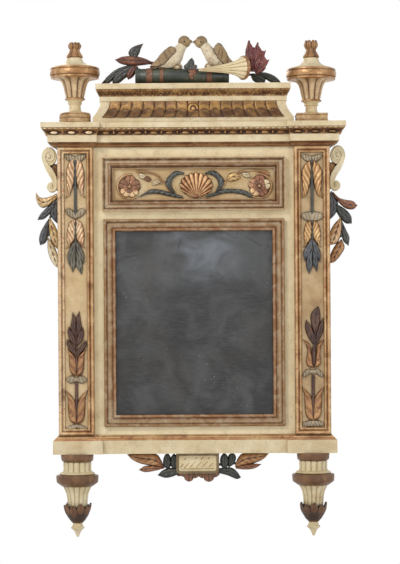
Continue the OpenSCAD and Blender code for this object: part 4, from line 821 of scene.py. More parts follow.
def dress_cornice():
    inner = stepped_outline(0.0, 0.0)

    # lower gilt moulding: dark line, hollow, pinkish ridge, dark foot
    swept("cornice_low_moulding_gilt", "cornice_low_moulding", "low_mould", 10,
          lambda s: (26.0 if s > 0.85 else 8 + 17 * cyma(s) + 1.2 * hump(s, 0.45, 0.12),
                     6 + 5 * cyma(s)), inner, 12.0)

    # carved band: eggs between darts, under a row of long beads
    def carve(middle, length, row):
        s = row / 12
        if s < 0.06 or s > 0.66:
            return 0.0
        count = max(1, round(length / EGG_PITCH))
        beat = 0.5 + 0.5 * math.cos(2 * math.pi * middle * count / length)
        return -5.0 * math.sin(math.pi * min(1, s / 0.66)) * (0.35 + 0.65 * beat ** 0.6)

    swept("cornice_carved_gilt", "cornice_carved_band", "carved_gilt", 12,
          lambda s: (29 + 14 * cyma(s), 12 + 7 * s), inner, 2.5, carve)
    eggs = Piece("cornice_eggs", "gilding")
    low, high = box_mm("cornice_carved_band")
    foot, h = low[1], high[1] - low[1]

    def runs(plan, pitch):
        for a, b in zip(plan, plan[1:]):
            a, run = Vector(a), Vector(b) - Vector(a)
            if run.length >= 30:
                yield a, run, max(1, round(run.length / pitch))

    for a, run, count in runs(stepped_outline(33, 15), EGG_PITCH):
        for i in range(count):
            p = a + run * (i + 0.5) / count
            # the eggs of the left block are larger and paler than the others
            bright = p.x < 20 - PILASTER_IN
            radii, kind = ((10.5, 4.4, 4.8), "egg_gilt") if bright else ((10, 3.8, 4.4), "egg_dull")
            lozenge(eggs, (p.x, foot + h * 0.30, p.y), run, radii, kind)
            if i:
                p = a + run * i / count
                lozenge(eggs, (p.x, foot + h * 0.36, p.y), run, (2.8, 5.0, 4.0), "egg_dull")
    for a, run, count in runs(stepped_outline(42.0, 19), BEAD_PITCH):
        for i in range(count):
            p = a + run * (i + 0.5) / count
            lozenge(eggs, (p.x, foot + h * 0.86, p.y), run, (6.8, 2.4, 2.4), "bead_gilt", 8)
    eggs.make()

    # gilt moulding over the plinth
    swept("base_moulding_gilt", "base_moulding", "base_gilt", 12,
          lambda s: (14 - 12 * cyma(s) + (1.6 * hump(s, 0.62, 0.08) if s else 0),
                     21 - 19 * cyma(s)),
          inner, 12.0)


def lozenge(piece, centre, along_run, radii, kind, sides=12):
    """Egg or bead whose long way lies along a run of the plan."""
    x, y = along_run.normalized()
    run, out, up = Vector((x, 0, y)), Vector((-y, 0, x)), Vector((0, 1, 0))
    rows = []
    for i in range(7):
        a = math.pi * (0.03 + 0.94 * i / 6)
        rows.append([Vector(centre) - run * (radii[0] * math.cos(a))
                     + (up * (radii[1] * math.cos(b)) + out * (radii[2] * math.sin(b)))
                     * math.sin(a)
                     for b in (2 * math.pi * k / sides for k in range(sides))])
    piece.skin(rows, kind)


BAND_LEAF_PITCH = 26.0
COVE_LEAVES = 15


def dress_attic():
    low, high = box_mm("attic_carved_band")
    neck_half, neck_depth = -low[0] - 8, high[2] - 20

    def carve(middle, length, row):
        s = row / 12
        if s <= 0.02 or s >= 0.98:
            return 0.0
        phase = 2 * math.pi * middle * max(1, round(length / BAND_LEAF_PITCH)) / length
        if s > 0.66:
            return -1.8 * max(0.0, math.cos(phase)) ** 8
        return -2.6 * abs(math.sin(phase)) ** 0.7 * math.sin(math.pi * s / 0.66)

    swept("attic_carved_gilt", "attic_carved_band", "attic_band_gilt", 12,
          lambda s: (neck_half + 8 * cyma(s), neck_depth + 20 * cyma(s)),
          plain_outline(neck_half - 30, neck_depth - 30), 2.2, carve, plain_outline)

    # upright leaves on the hollow
    low, high = box_mm("attic_leaf_band")
    leaves = Piece("attic_leaves", "gilding", "attic_leaf_band")
    foot, span = low[1], high[1] - low[1]

    def hollow(s):
        """Half width, level and depth of the hollow at a share of its height."""
        drawn = math.cos(math.pi / 2 * (1 - s))
        return (high[0] - low[0]) / 2 - 23 * drawn, foot + span * s, 98 - 20 * drawn

    ground = []
    for i in range(13):
        half, z, d = hollow(i / 12)
        ground.append([(-half, z, d + 0.2), (half, z, d + 0.2), (half, z, d + 2.4),
                       (-half, z, d + 2.4)])
    leaves.skin(ground, "cove_ground")
    for n in range(COVE_LEAVES):
        rows, marks = [], []
        place = (n + 0.5) / COVE_LEAVES * 2 - 1
        for i in range(23):
            s = 0.01 + 0.98 * i / 22
            half, level_here, d = hollow(s)
            d += 2.0
            # the leaves bow towards the middle, and those at the ends follow the block
            bow = -3.0 * place / max(abs(place), 0.2) * (1 - abs(place) ** 6)
            middle = place * half + bow * math.sin(math.pi * s)
            w = half / COVE_LEAVES * 0.97
            ring, mark = [], []
            for k in range(15):
                v = 1 - 2 * k / 14
                lap = 0.5 + 0.5 * v * (1 if place < 0 else -1)
                z = 1.5 + 4.2 * lap * (1 - abs(v) ** 8)
                z += 1.4 * hump(s, 0.52, 0.10) * hump(abs(v), 0.2, 0.3)
                ring.append((middle + v * w, level_here, d + max(0.0, z)))
                # Painted light and shade on each leaf: paler on its lapping side and above its tip
                # line, darker along its edges, along two lines across it and below the tip line;
                # paler above it in the middle of the row
                edge = max(0.0, (abs(v) - 0.74) / 0.26)
                tip = s - 0.36 - 0.16 * (1 - v * v)
                upper = s - 0.76 - 0.08 * (1 - v * v)
                mark.append(0.2 * lap - 0.55 * edge - 0.9 * hump(tip, 0, 0.035)
                            + (0.42 * hump(tip, 0.13, 0.10) if tip > 0 else -0.30)
                            - 0.5 * hump(upper, 0, 0.04) + 0.25 * (1 - abs(place)) ** 2 * (tip > 0))
            rows.append(ring + [(middle - w, level_here, d - 1.0),
                                (middle + w, level_here, d - 1.0)])
            marks.append(mark + [HIDDEN] * 2)
        leaves.skin(rows, "cove_leaf", relief=marks)
    # round boss in the middle
    half, boss, face = hollow(0.52)
    face += 7.5
    leaves.ball((0, boss, face - 4), (17, 18, 5.5), "cove_ground", 28, 11)
    leaves.tube([on_circle((0, boss), (12.5, 13), 18 * k) + (face,) for k in range(18)],
                lambda s: 3.0 - 1.0 * s, "boss_gilt", sides=12)
    leaves.ball((0, boss, face), (5.5, 5.5, 3.5), "boss_gilt", 20, 9)
    leaves.make()


# Urns and drops

URN_D, DROP_D = 74, 64      # how far their axes stand from the wall
# Levels at which the urns' curves are drawn, and where these lie over the cornice: the block under
# the right urn is lower than the disc under the left one
URN_LEVELS = {-1: ((0, 0), (31, 31), (72, 72), (134, 134), (166, 166), (210, 210)),
              1: ((0, 0), (31, 23.5), (72, 63), (134, 125.5), (166, 158), (195, 191), (210, 206))}


def turner(piece, centre, at=lambda h: h):
    """Turns curves through pairs of level and radius about an axis; each is 1 for straight lines."""
    def turned(kind, rows, each=4, **more):
        curve = spline([(r, h) for h, r in rows], each)
        piece.lathe([(at(p.y), p.x) for p in curve], kind, centre=centre, **more)
    return turned


def ring_of_leaves(piece, kind, centre, count, turn, steps, across, shape, front, back):
    """Leaves that stand in a ring about an upright axis.

    The shape gives level, radius and half width by a leaf's number and the share of its length. The
    front gives swell and painted light and shade across it. The back is its thickness, share of the
    width and painted shade.
    """
    for i in range(count):
        x, y = unit(360 * (i + turn) / count)
        out, side = Vector((x, 0, y)), Vector((-y, 0, x))
        rows, marks = [], []
        for k in range(steps + 1):
            up, r, w = shape(i, k / steps)
            axis = Vector((centre[0], up, centre[1]))
            ring, mark = [], []
            for j in range(across + 1):
                v = 1 - 2 * j / across
                swell, shade = front(v)
                ring.append(axis + out * (r + swell) + side * (w * v))
                mark.append(shade)
            ring += [axis + out * (r - back[0]) + side * (w * v * back[1]) for v in (-1, 0, 1)]
            rows.append(ring)
            marks.append(mark + [back[2]] * 3)
        piece.skin(rows, kind, relief=marks)


def dress_urns():
    for side, name in ((-1, "left"), (1, "right")):
        x, d = side * PILASTER_X, URN_D
        urn = Piece(f"urn_{name}_carved", "gilding", f"urn_{name}")

        def at(h):
            for (h0, z0), (h1, z1) in zip(URN_LEVELS[side], URN_LEVELS[side][1:]):
                if h <= h1:
                    return CORNICE_TOP + z0 + (z1 - z0) * (h - h0) / (h1 - h0)

        turned = turner(urn, (x, d), at)
        if side < 0:
            turned("urn_base", [
                (0, 44), (1, 46.4), (3, 47), (13, 46.6), (14.4, 44.6), (16, 46.6), (24, 46.6),
                (25.4, 44.4), (27, 45.4), (30, 44), (31.5, 38), (31.8, 26)], 3)
        else:
            rows = []
            for h, b in ((0, 46), (1, 46.5), (5, 46.5), (6, 44.3), (8, 45.5), (22, 45.5),
                         (24, 44.3), (25, 46.5), (30, 46.5), (31, 45.5)):
                rows.append([(x - b, at(h), d - b), (x + b, at(h), d - b), (x + b, at(h), d + b),
                             (x - b, at(h), d + b)])
            urn.skin(rows, "urn_base")
        turned("ivory_carved", [(30, 30), (33, 29), (36, 22), (40, 18), (48, 17), (55, 17.2),
                                (58, 20.5), (60, 21), (62, 19), (66, 22), (70, 27), (72, 27)], 5)
        turned("gilt_band", [(69, 24), (70, 29.4), (72, 30.4), (74, 29.4), (75, 27)], 3)
        turned("urn_flute", [(74, 27), (84, 29), (94, 31.4), (106, 34), (114, 36.5), (122, 40),
                             (128, 46), (132, 55), (134.5, 64)], sides=160, flutes=10, cut=4.2,
               shade=lambda beat: 0.45 - 1.5 * beat)
        turned("gilt_band", [
            (132.5, 60), (133.4, 70), (134.4, 71.6), (139, 71.8), (139.8, 69.8), (141, 69.8),
            (141.8, 73.2), (144, 74), (155, 74), (157, 73), (157.8, 70.6), (159, 70.6),
            (159.8, 72.4), (163.6, 72.2), (165.2, 70), (166, 62)], 1, sides=96)
        turned("ivory_carved", [(164, 66), (167, 64), (169.5, 56), (172.5, 44), (177, 34),
                                (182, 27.5), (188, 23.5), (194, 21.5), (195, 16)], 5)
        urn.make()

        bud = Piece(f"urn_bud_{name}_carved", "gilding", f"urn_bud_{name}")
        base = at(194)
        turned = turner(bud, (x, d), lambda h: base + h)
        turned("bud_gilt", [(0, 16), (1, 23), (3, 25.5), (6, 25), (9, 23), (14, 20), (20, 16.8),
                            (24, 15.6), (27, 16.4), (30, 15.5)], 1, sides=96, flutes=6, cut=2.2,
               shade=lambda beat: 0.4 - 1.2 * beat)
        # crown of small leaves that close over the top
        count, height, flare = (7, 46, 1.0) if side < 0 else (8, 52, 1.12)

        def shape(i, s):
            return (base + 26 + (height - 26) * s,
                    (14.0 + 4.0 * math.sin(math.pi * min(1, s * 1.05)) * flare
                     + (2.5 * s * s if side > 0 else 0.5 * s ** 3)),
                    7.4 * (0.85 + 0.35 * math.sin(math.pi * s)) * (1 - 0.55 * s ** 6))

        # the crown's leaves carry painted shade along the midrib and edges, with a paler band
        # between
        ring_of_leaves(bud, "bud_gilt", (x, d), count, 0.5, 8, 6, shape,
                       lambda v: (1.8 * (1 - v * v) - 0.9 * hump(v, 0, 0.2),
                                  (-0.6, 0.4, 0.0, -1.1)[round(3 * abs(v))]), (3.0, 0.9, -1.1))
        turned("gilt_dark", [(24, 10), (27, 13.5), (36, 15), (height - 6, 12), (height - 3, 6),
                             (height - 2, 2)], 1, sides=32)
        bud.make()


def dress_drops():
    for side, name in ((-1, "left"), (1, "right")):
        centre = (side * PILASTER_X, DROP_D)
        drop = Piece(f"drop_{name}_turned", "ivory", f"drop_{name}")
        turned = turner(drop, centre)
        flutes = {"sides": 144, "flutes": 14, "shade": lambda beat: 0.3 - 1.1 * beat}
        turned("drop_brown", [(-0.2, 44), (-0.8, 47.4), (-3, 48.4), (-15, 47.6), (-19.5, 46.2),
                              (-21, 44.5), (-22, 42), (-22.5, 38)], 1, sides=72)
        turned("drop_ivory", [(-22, 40), (-24, 42), (-30, 42.2), (-42, 41.5), (-50, 42.5),
                              (-53, 45)],
               1, cut=3.4, **flutes)
        turned("drop_ivory", [(-51, 40), (-53, 46), (-55, 50.5), (-58, 52.5), (-61, 51),
                              (-62.5, 46)])
        turned("drop_brown", [(-61, 50), (-62, 60), (-63, 62.3), (-66, 62.8), (-80, 62.0),
                              (-84.5, 60.6), (-87, 57), (-95, 46), (-96, 40)], 1, sides=96)
        turned("drop_ivory", [(-95, 42), (-97, 42.4), (-101, 40.5), (-107, 37.2), (-115, 34.0),
                              (-124, 32), (-136, 30.6), (-150, 30), (-158, 26)], 1, cut=3.0,
               **flutes)
        turned("drop_ivory", [(-199, 8), (-203, 12.5), (-208, 14.5), (-213, 16), (-217, 19.6),
                              (-219, 20.2), (-221.5, 18), (-226, 12.5), (-234, 7.8), (-241, 5.2),
                              (-245.5, 2.6), (-246.5, 0.6)])
        drop.make()

        calyx = Piece(f"drop_calyx_{name}_carved", "red_brown", f"drop_calyx_{name}")

        def shape(i, s):
            r = 12.5 + 26.0 * math.sin(math.pi / 2 * min(1, s * 1.02)) ** 0.9
            return (-204 + (53 if i % 2 else 59) * s, r,
                    r * math.pi / 10 * 1.12 * (1 - max(0, (s - 0.66) / 0.34) ** 1.8 * 0.95))

        # swell across a leaf, and painted light and shade: pale and dark stripes along it, dark
        # along its edges
        def front(v):
            stripe = math.cos(5 * math.pi * v)
            return (2.4 * (1 - v * v) + 0.7 * stripe * (1 - v ** 4),
                    0.5 * stripe - 0.8 * max(0.0, (abs(v) - 0.7) / 0.3))

        ring_of_leaves(calyx, "calyx", centre, 10, 0.0 if side < 0 else 0.5, 16, 12, shape, front,
                       (2.6, 0.95, -1.0))
        turner(calyx, centre)("calyx_dark", [
            (-204, 9), (-204, 13), (-196, 23), (-180, 33), (-166, 35.5), (-160, 34), (-160, 29),
            (-180, 25), (-198, 12), (-198, 9)], 1, ends=False)
        calyx.make()


# Leaves and bands that follow a drawn line

def along(values, share):
    """Value at a share of a list's length."""
    place = share * (len(values) - 1)
    k = min(int(place), len(values) - 2)
    return values[k] + (values[k + 1] - values[k]) * (place - k)


def beside(line):
    """Points of a line with the direction square to it."""
    for i, p in enumerate(line):
        run = (line[min(i + 1, len(line) - 1)] - line[max(i - 1, 0)]).normalized()
        yield p, Vector((-run.y, run.x))


def frond(piece, path, widths, depth, kind, rise=6.0, back=3.0, rib=1.0, veins=0, vein=0.7,
          lift=0.0):
    """Leaf along a curved midline, with its full width given at even shares of the length."""
    steps, across = 26, 12
    rows, marks = [], []
    for i, (middle, side) in enumerate(beside(resampled(spline(path, 8), steps + 1))):
        s = i / steps
        half = max(0.4, along(widths, s) / 2)
        crown = min(rise, 0.8 + half * 0.7)
        ring, mark = [], []
        for k in range(across + 1):
            v = 1 - 2 * k / across
            beat = 0.0
            if veins:
                beat = math.cos(2 * math.pi * (veins * s - 0.8 * abs(v))) * min(1, abs(v) * 3)
            z = crown * (1 - abs(v) ** 2.2) ** 0.6
            z -= rib * min(1, half / 6) * hump(v, 0, 0.17)
            z += vein * min(1, half / 6) * beat * (1 - abs(v) ** 4)
            ring.append((*(middle + side * (half * v)), depth + back + z + lift * s * s))
            mark.append(carving_shade(v, half, rib, beat, 0.5))
        ring += [(*(middle + side * (half * v)), depth + lift * s * s) for v in (-1, 1)]
        rows.append(ring)
        marks.append(mark + [HIDDEN] * 2)
    piece.skin(rows, kind, relief=marks)


def ribbon(piece, path, widths, back, front, kind, hollow=1.6, steps=60):
    """Band that stands on edge along a curve, with a hollow along its front."""
    profile = ((-1, back), (-1, front - 1.2), (-0.86, front), (-0.5, front - 0.2 * hollow),
               (0, front - hollow), (0.5, front - 0.2 * hollow), (0.86, front), (1, front - 1.2),
               (1, back))
    rows = []
    for i, (middle, side) in enumerate(beside(resampled(spline(path, 10), steps + 1))):
        half = along(widths, i / steps) / 2
        rows.append([(*(middle + side * (half * share)), z) for share, z in profile])
    piece.skin(rows, kind)


def turned_along(piece, rows, origin, angle, kind, sides=48, flutes=0, cut=0.0, ends=True,
                 skew=lambda s: 0.0, shade=None):
    """Turned body whose axis lies in a plane beside the wall, through pairs of run and radius.

    The skew moves the front of a ring along the axis, and its back the other way.
    """
    run = unit(angle)
    side = Vector((-run.y, run.x))
    rings, marks = [], []
    for s, r in rows:
        middle = Vector(origin[:2]) + run * s
        ring, mark = [], []
        for k in range(sides):
            a = 2 * math.pi * k / sides
            beat = fluted(flutes, a)
            w = r - cut * beat * min(1, r / 10)
            out = w * math.sin(a)
            point = middle + side * (w * math.cos(a)) + run * (skew(s) * out)
            ring.append((*point, origin[2] + out))
            mark.append(shade(beat) if shade else 0.0)
        rings.append(ring)
        marks.append(mark)
    piece.skin(rings, kind, ends=ends, relief=marks)


# Crest: heights are over the attic's cap

def on_crest(points):
    return [(p[0], CREST_Z + p[1]) + tuple(p[2:]) for p in points]


def at_crest(point, out=0):
    """Place on the crest's middle plane, or out of it."""
    return point[0], CREST_Z + point[1], CREST_D + out


QUIVER_START, QUIVER_LENGTH = (-171, 25.3), 278
QUIVER_R = 25
TORCH_AT = (17, 39, 99.6)
TORCH_TILT = 2.5

# Laurel leaves: the two edges, how far out they lie, paint and lift
LAURELS = (
    ([(-184, 84), (-192, 96), (-186, 110), (-171, 119), (-147, 125)],
     [(-166, 84), (-158, 98), (-155, 108), (-147, 125)], 45, "laurel_dark", 3),
    ([(-124, 72), (-146, 82), (-174, 88), (-208, 87), (-232, 77)],
     [(-124, 64), (-146, 61), (-174, 59), (-212, 64), (-232, 77)], 46, "laurel_brown", 2),
    ([(-172, 62), (-200, 60), (-230, 49), (-256, 28), (-274, 6)],
     [(-170, 52), (-200, 44), (-228, 26), (-250, 8), (-274, 6)], 43, "laurel_dark", -1),
    ([(-170, 62), (-198, 56), (-226, 38), (-238, 22), (-240, 6)],
     [(-162, 50), (-182, 34), (-202, 22), (-220, 8), (-240, 6)], 45, "laurel_dark", 0),
    ([(-176, 58), (-192, 46), (-198, 32), (-193, 17)],
     [(-162, 56), (-168, 42), (-178, 26), (-193, 17)], 48, "laurel_brown", 0),
    ([(188, 34), (206, 28), (216, 18), (214, 6)],
     [(172, 26), (180, 12), (196, 5), (214, 6)], 43, "laurel_dark", 0),
    ([(186, 36), (214, 38), (240, 29), (256, 16), (263, 5)],
     [(184, 24), (208, 22), (228, 10), (244, 5), (263, 5)], 41, "laurel_dark", 0),
)
# Laurel stems: points, how far out they lie, paint, thickness and how much it shrinks
LAUREL_STEMS = (
    (((-112, 66), (-134, 68), (-160, 66), (-178, 60)), 48, "laurel_brown", 5.2, 2.2),
    (((-174, 64), (-174, 76), (-175, 88)), 47, "laurel_dark", 3.6, 0.8),
    (((140, 20), (160, 30), (180, 32), (196, 30)), 45, "laurel_dark", 4.0, 1.0),
)
FLAME = ((158, 36), (159, 70), (160, 106), (166, 122), (173, 112), (180, 99), (190, 115),
         (198, 104), (204, 94), (213, 92), (209, 81), (216, 70), (219, 66), (212, 54), (211, 44),
         (199, 36), (182, 33))
# Tongues of the flame: path, widths, how far out and lift
TONGUES = (
    ([(168, 34), (167, 64), (165, 94), (166, 124)], (22, 22, 20, 5), 5, 2),
    ([(180, 36), (181, 62), (186, 90), (192, 118)], (20, 20, 19, 4), 8, -1),
    ([(186, 36), (194, 58), (204, 76), (215, 95)], (18, 16, 14, 2), 4, 1),
    ([(188, 32), (202, 44), (214, 56), (225, 68)], (16, 15, 12, 2), 6, -2),
    ([(184, 30), (196, 34), (206, 39), (215, 44)], (14, 13, 10, 2), 2, 0),
    ([(174, 40), (174, 62), (176, 84), (180, 104)], (13, 13, 10, 2), 12, -3),
    ([(184, 40), (191, 58), (198, 74), (204, 92)], (13, 12, 9, 2), 12, -3),
)


def dress_laurels():
    sprays = Piece("laurel_leaves", "dark_green", "laurel_sprays")
    for edge_a, edge_b, depth, kind, lift in LAURELS:
        petal(sprays, on_crest(edge_a), on_crest(edge_b), depth, kind, rise=8, rib=1.6, veins=5,
              vein=0.7, ink=0.3, lift=lift)
    for points, depth, kind, thick, less in LAUREL_STEMS:
        sprays.tube([p + (depth,) for p in on_crest(points)], lambda s: thick - less * s, kind)
    sprays.make()


def dress_quiver():
    quiver = Piece("quiver_carved", "dark_green", "quiver")
    body, length = QUIVER_R - 2, QUIVER_LENGTH

    def turned(rows, kind):
        turned_along(quiver, rows, at_crest(QUIVER_START), 0, kind, sides=64)

    turned([(1, 0.5), (1, 12), (0, 17), (0, body - 1), (1.5, body), (length / 2, body),
            (length - 1.5, body), (length, body - 1), (length, 17), (length - 2, 12),
            (length - 2, 0.5)], "quiver_green")
    for share, half, kind in ((0.03, 5.5, "green"), (0.150, 9.5, "copper"), (0.281, 5.5, "copper"),
                              (0.790, 8.0, "copper"), (0.965, 6.5, "green")):
        rise = ((half, -1), (half, 1.0), (half - 1.2, 1.9), (half - 2.6, 1.2))
        rise = [(-a, b) for a, b in rise] + [(0, 2.0)] + list(reversed(rise))
        turned([(length * share + a, body + b) for a, b in rise], f"quiver_{kind}")
    quiver.make()


def dress_torch():
    torch = Piece("torch_carved", "ivory", "torch")

    def skew(s):
        return 0.50 * max(0.0, (s - 84) / 50) ** 1.5

    def turned(rows, kind, **more):
        turned_along(torch, rows, on_crest([TORCH_AT])[0], TORCH_TILT, kind, **more)

    curve = spline([(0, 3.4), (20, 6.0), (45, 9.0), (70, 12.4), (88, 16.0), (102, 20.0),
                    (112, 24.4), (120, 28.6), (126, 31.6), (129, 33.0)], 4)
    turned([(0, 0.6)] + [(p.x, p.y) for p in curve] + [(129, 30)], "torch_ivory", sides=96,
           flutes=12, cut=2.6, skew=skew, shade=lambda beat: 0.2 - 0.9 * beat)
    turned([(128, 31), (128.5, 34.6), (130.5, 36.0), (134, 36.0), (136.5, 34.6), (137, 31.5),
            (134, 29.0)], "torch_rim", sides=72, skew=lambda s: skew(131))
    turned([(134.5, 29.6), (131, 26), (129, 16), (129, 0.6)], "gilt_dark", ends=False,
           skew=lambda s: skew(131))
    torch.make()

    flame = Piece("flame_carved", "flame_red", "torch_flame")
    d = TORCH_AT[2]
    flame.slab(on_crest(FLAME), d - 9, d + 9, "flame", edge=3.0, dome=3.0)
    for face in (1, -1):
        for path, widths, out, lift in TONGUES:
            frond(flame, on_crest(path), widths, d + out - 2 if face > 0 else d - out - 8, "flame",
                  rise=5, back=2.5, rib=1.8, veins=3, vein=0.6, lift=lift * face)
    flame.make()


def dress_knot():
    knot = Piece("ribbon_knot_carved", "silver_gilt", "ribbon_knot")
    d = CREST_D + QUIVER_R - 2
    petal(knot, on_crest([(-24, 44), (-27, 52), (-17, 62), (-10, 72), (-2, 77)]),
          on_crest([(6, 42), (5, 54), (4, 66), (-2, 77)]), d - 2, "laurel_dark", rib=1.4, veins=4,
          vein=0.6, ink=0.3)
    frond(knot, on_crest([(-2, 46), (6, 50), (12, 53)]), (10, 14, 8), d, "knot_grey", rise=5,
          rib=1.4)
    for path, widths, out in (([(-11, 34), (-2, 41), (10, 40)], (10, 14, 9), 3),
                              ([(-10, 22), (-3, 31), (8, 36)], (9, 13, 8), 4),
                              ([(-2, 14), (-5, 24), (1, 33)], (7, 12, 9), 2),
                              ([(9, 42), (6, 32), (2, 22)], (6, 10, 5), 1)):
        frond(knot, on_crest(path), widths, d - 6 + out, "knot_copper", rise=5, back=4, rib=1.4,
              veins=2, vein=0.6)
    knot.make()


# Doves that touch beaks: the spine with its radii, then places on the crest
DOVES = {
    "left": {
        "spine": [(-27, 122), (-34, 112), (-43, 98), (-51, 84), (-61, 72), (-76, 64), (-93, 60),
                  (-109, 57), (-123, 55)],
        "radii": [14.5, 15.0, 18.5, 22.0, 22.5, 18.0, 12.0, 7.5, 3.5],
        "head": (-25.5, 127.5), "face": (-21.5, 125.5), "eye": (-24, 126), "beak": (-9, 128.5),
        "front": [(-54, 60), (-42, 54), (-36, 47)], "foot": (-46, 51),
        "wing_top": [(-55, 110), (-65, 113), (-78, 106), (-93, 91), (-108, 74), (-127, 54)],
        "wing_low": [(-50, 101), (-60, 87), (-74, 71), (-91, 58), (-108, 52), (-127, 54)],
        "tail": [(-94, 58), (-110, 54), (-127, 50)],
    },
    "right": {
        "spine": [(31, 121), (37, 112), (47, 98), (57, 84), (69, 72), (84, 65), (100, 61),
                  (116, 61), (130, 60)],
        "radii": [14.5, 15.0, 18.0, 21.0, 20.5, 16.0, 11.0, 7.0, 3.5],
        "head": (25.5, 126.5), "face": (20.5, 124.5), "eye": (24, 124.5), "beak": (8, 127),
        "front": [(56, 60), (46, 54), (40, 47)], "foot": (46, 53),
        "wing_top": [(63, 110), (74, 122), (86, 117), (99, 95), (111, 74), (128, 60)],
        "wing_low": [(65, 100), (70, 86), (79, 72), (92, 58), (108, 52), (128, 60)],
        "tail": [(102, 58), (116, 56), (131, 53)],
    },
}


def dress_doves():
    for name, bird in DOVES.items():
        dove = Piece(f"dove_{name}_carved", "dove_paint", f"dove_{name}")

        def ball(place, out, *rest):
            dove.ball(at_crest(bird[place], out), *rest)

        line = spline([p + (r,) for p, r in zip(bird["spine"], bird["radii"])], 4)
        dove.tube([at_crest(p) for p in line], [p.z for p in line], "dove_breast", sides=28,
                  flat=0.82)
        ball("head", 0, (18.6, 18.6, 14.5), "dove_crown", 28, 15)
        ball("face", 0, (15.4, 15.0, 15.6), "dove_face", 28, 15)
        # wings folded on both flanks, with long feathers below the shoulder
        for face in (1, -1):
            base = CREST_D + face * 13.5
            wing(dove, bird, base, face)
            feathers(dove, bird, base + face * 2.5, face)
        x, y = bird["beak"]
        dove.tube([at_crest(p) for p in ((x, y), (x * 0.5, y - 0.5), (math.copysign(0.5, x), 126))],
                  [6.4, 4.6, 1.6], "dove_crown", sides=14)
        for face in (1, -1):
            ball("eye", face * 14.0, (4.4, 4.4, 2.4), "dove_wing", 16, 7)
            ball("eye", face * 15.4, (2.6, 2.6, 1.8), "eye", 14, 7)
        for face in (-1, 0, 1):
            frond(dove, on_crest(bird["tail"]), (12, 14, 9), CREST_D - 3 + face * 6, "dove_wing",
                  rise=2.5, back=2.5, rib=0.6)
        dove.tube([at_crest(p) for p in bird["front"]], [13, 11, 9], "dove_breast", sides=20,
                  flat=0.8)
        ball("foot", 11, (11.5, 8.5, 6), "dove_wing", 24, 11)
        ball("foot", 16, (5.5, 4.0, 2.4), "dove_breast", 18, 7)
        dove.make()


def wing(piece, bird, base, face):
    """Wing between two edges, swelling away from the body on either flank."""
    steps, across = 18, 12
    edges = zip(*(resampled(spline(on_crest(bird[edge]), 6), steps + 1)
                  for edge in ("wing_top", "wing_low")))
    rows, marks = [], []
    for i, (a, b) in enumerate(edges):
        s = i / steps
        ring, mark = [], []
        for k in range(across + 1):
            v = 2 * k / across - 1
            z = 5.0 * (1 - abs(v) ** 2.6) ** 0.6 * (1 - 0.5 * s ** 3)
            ring.append((*a.lerp(b, k / across), base + face * z))
            # painted shade along the wing's edges
            mark.append(-1.5 * max(0.0, (abs(v) - 0.72) / 0.28) ** 1.3)
        rows.append(ring + [(*b, base - face * 8), (*a, base - face * 8)])
        marks.append(mark + [HIDDEN] * 2)
    piece.skin(rows, "dove_wing", relief=marks)


def feathers(piece, bird, base, face):
    """Three rows of feathers that lap towards the wing's tip."""
    top, low = (resampled(spline(on_crest(bird[edge]), 6), 41) for edge in ("wing_top", "wing_low"))
    steps = 8
    across = (-1, -0.5, -0.08, 0, 0.08, 0.5, 1)
    for row, (start, length, count, width) in enumerate(((0.30, 34, 5, 10), (0.16, 24, 5, 9),
                                                         (0.04, 17, 4, 9))):
        k = int(40 * start)
        for i in range(count):
            share = (i + 0.6) / (count + 0.2)
            root = top[k].lerp(low[k], share)
            run = (top[k + 12].lerp(low[k + 12], share * 0.9 + 0.05) - root).normalized()
            side = Vector((-run.y, run.x))
            rows = []
            for j in range(steps + 1):
                s = j / steps
                middle = root + run * (length * s)
                half = width / 2 * (0.7 + 0.3 * s) * (1 - max(0, (s - 0.75) / 0.25) ** 2 * 0.85)
                z = 1.2 + 0.8 * row + 1.6 * s
                heights = [(v, 1.5 * (1 - v * v) - (0.5 if v == 0 else 0)) for v in across]
                rows.append([(*(middle + side * (half * v)), base + face * (z + dome))
                             for v, dome in heights + [(1, -2.5), (-1, -2.5)]])
            # painted shade along each feather's edges and quill, paler between
            piece.skin(rows, "dove_wing",
                       relief=[[-0.9, 0.1, 0.2, -0.7, 0.2, 0.1, -0.9] + [HIDDEN] * 2] * (steps + 1))


# Sides: places run outward from the case's side and by level

SCROLL_EYE, SCROLL_FOOT = (27, 886), (20, 794)
SCROLL_WIDTHS = (6, 8, 9.5, 10.5, 11, 11.5, 12, 14, 18, 18, 16, 13, 10.5, 9.5, 8)

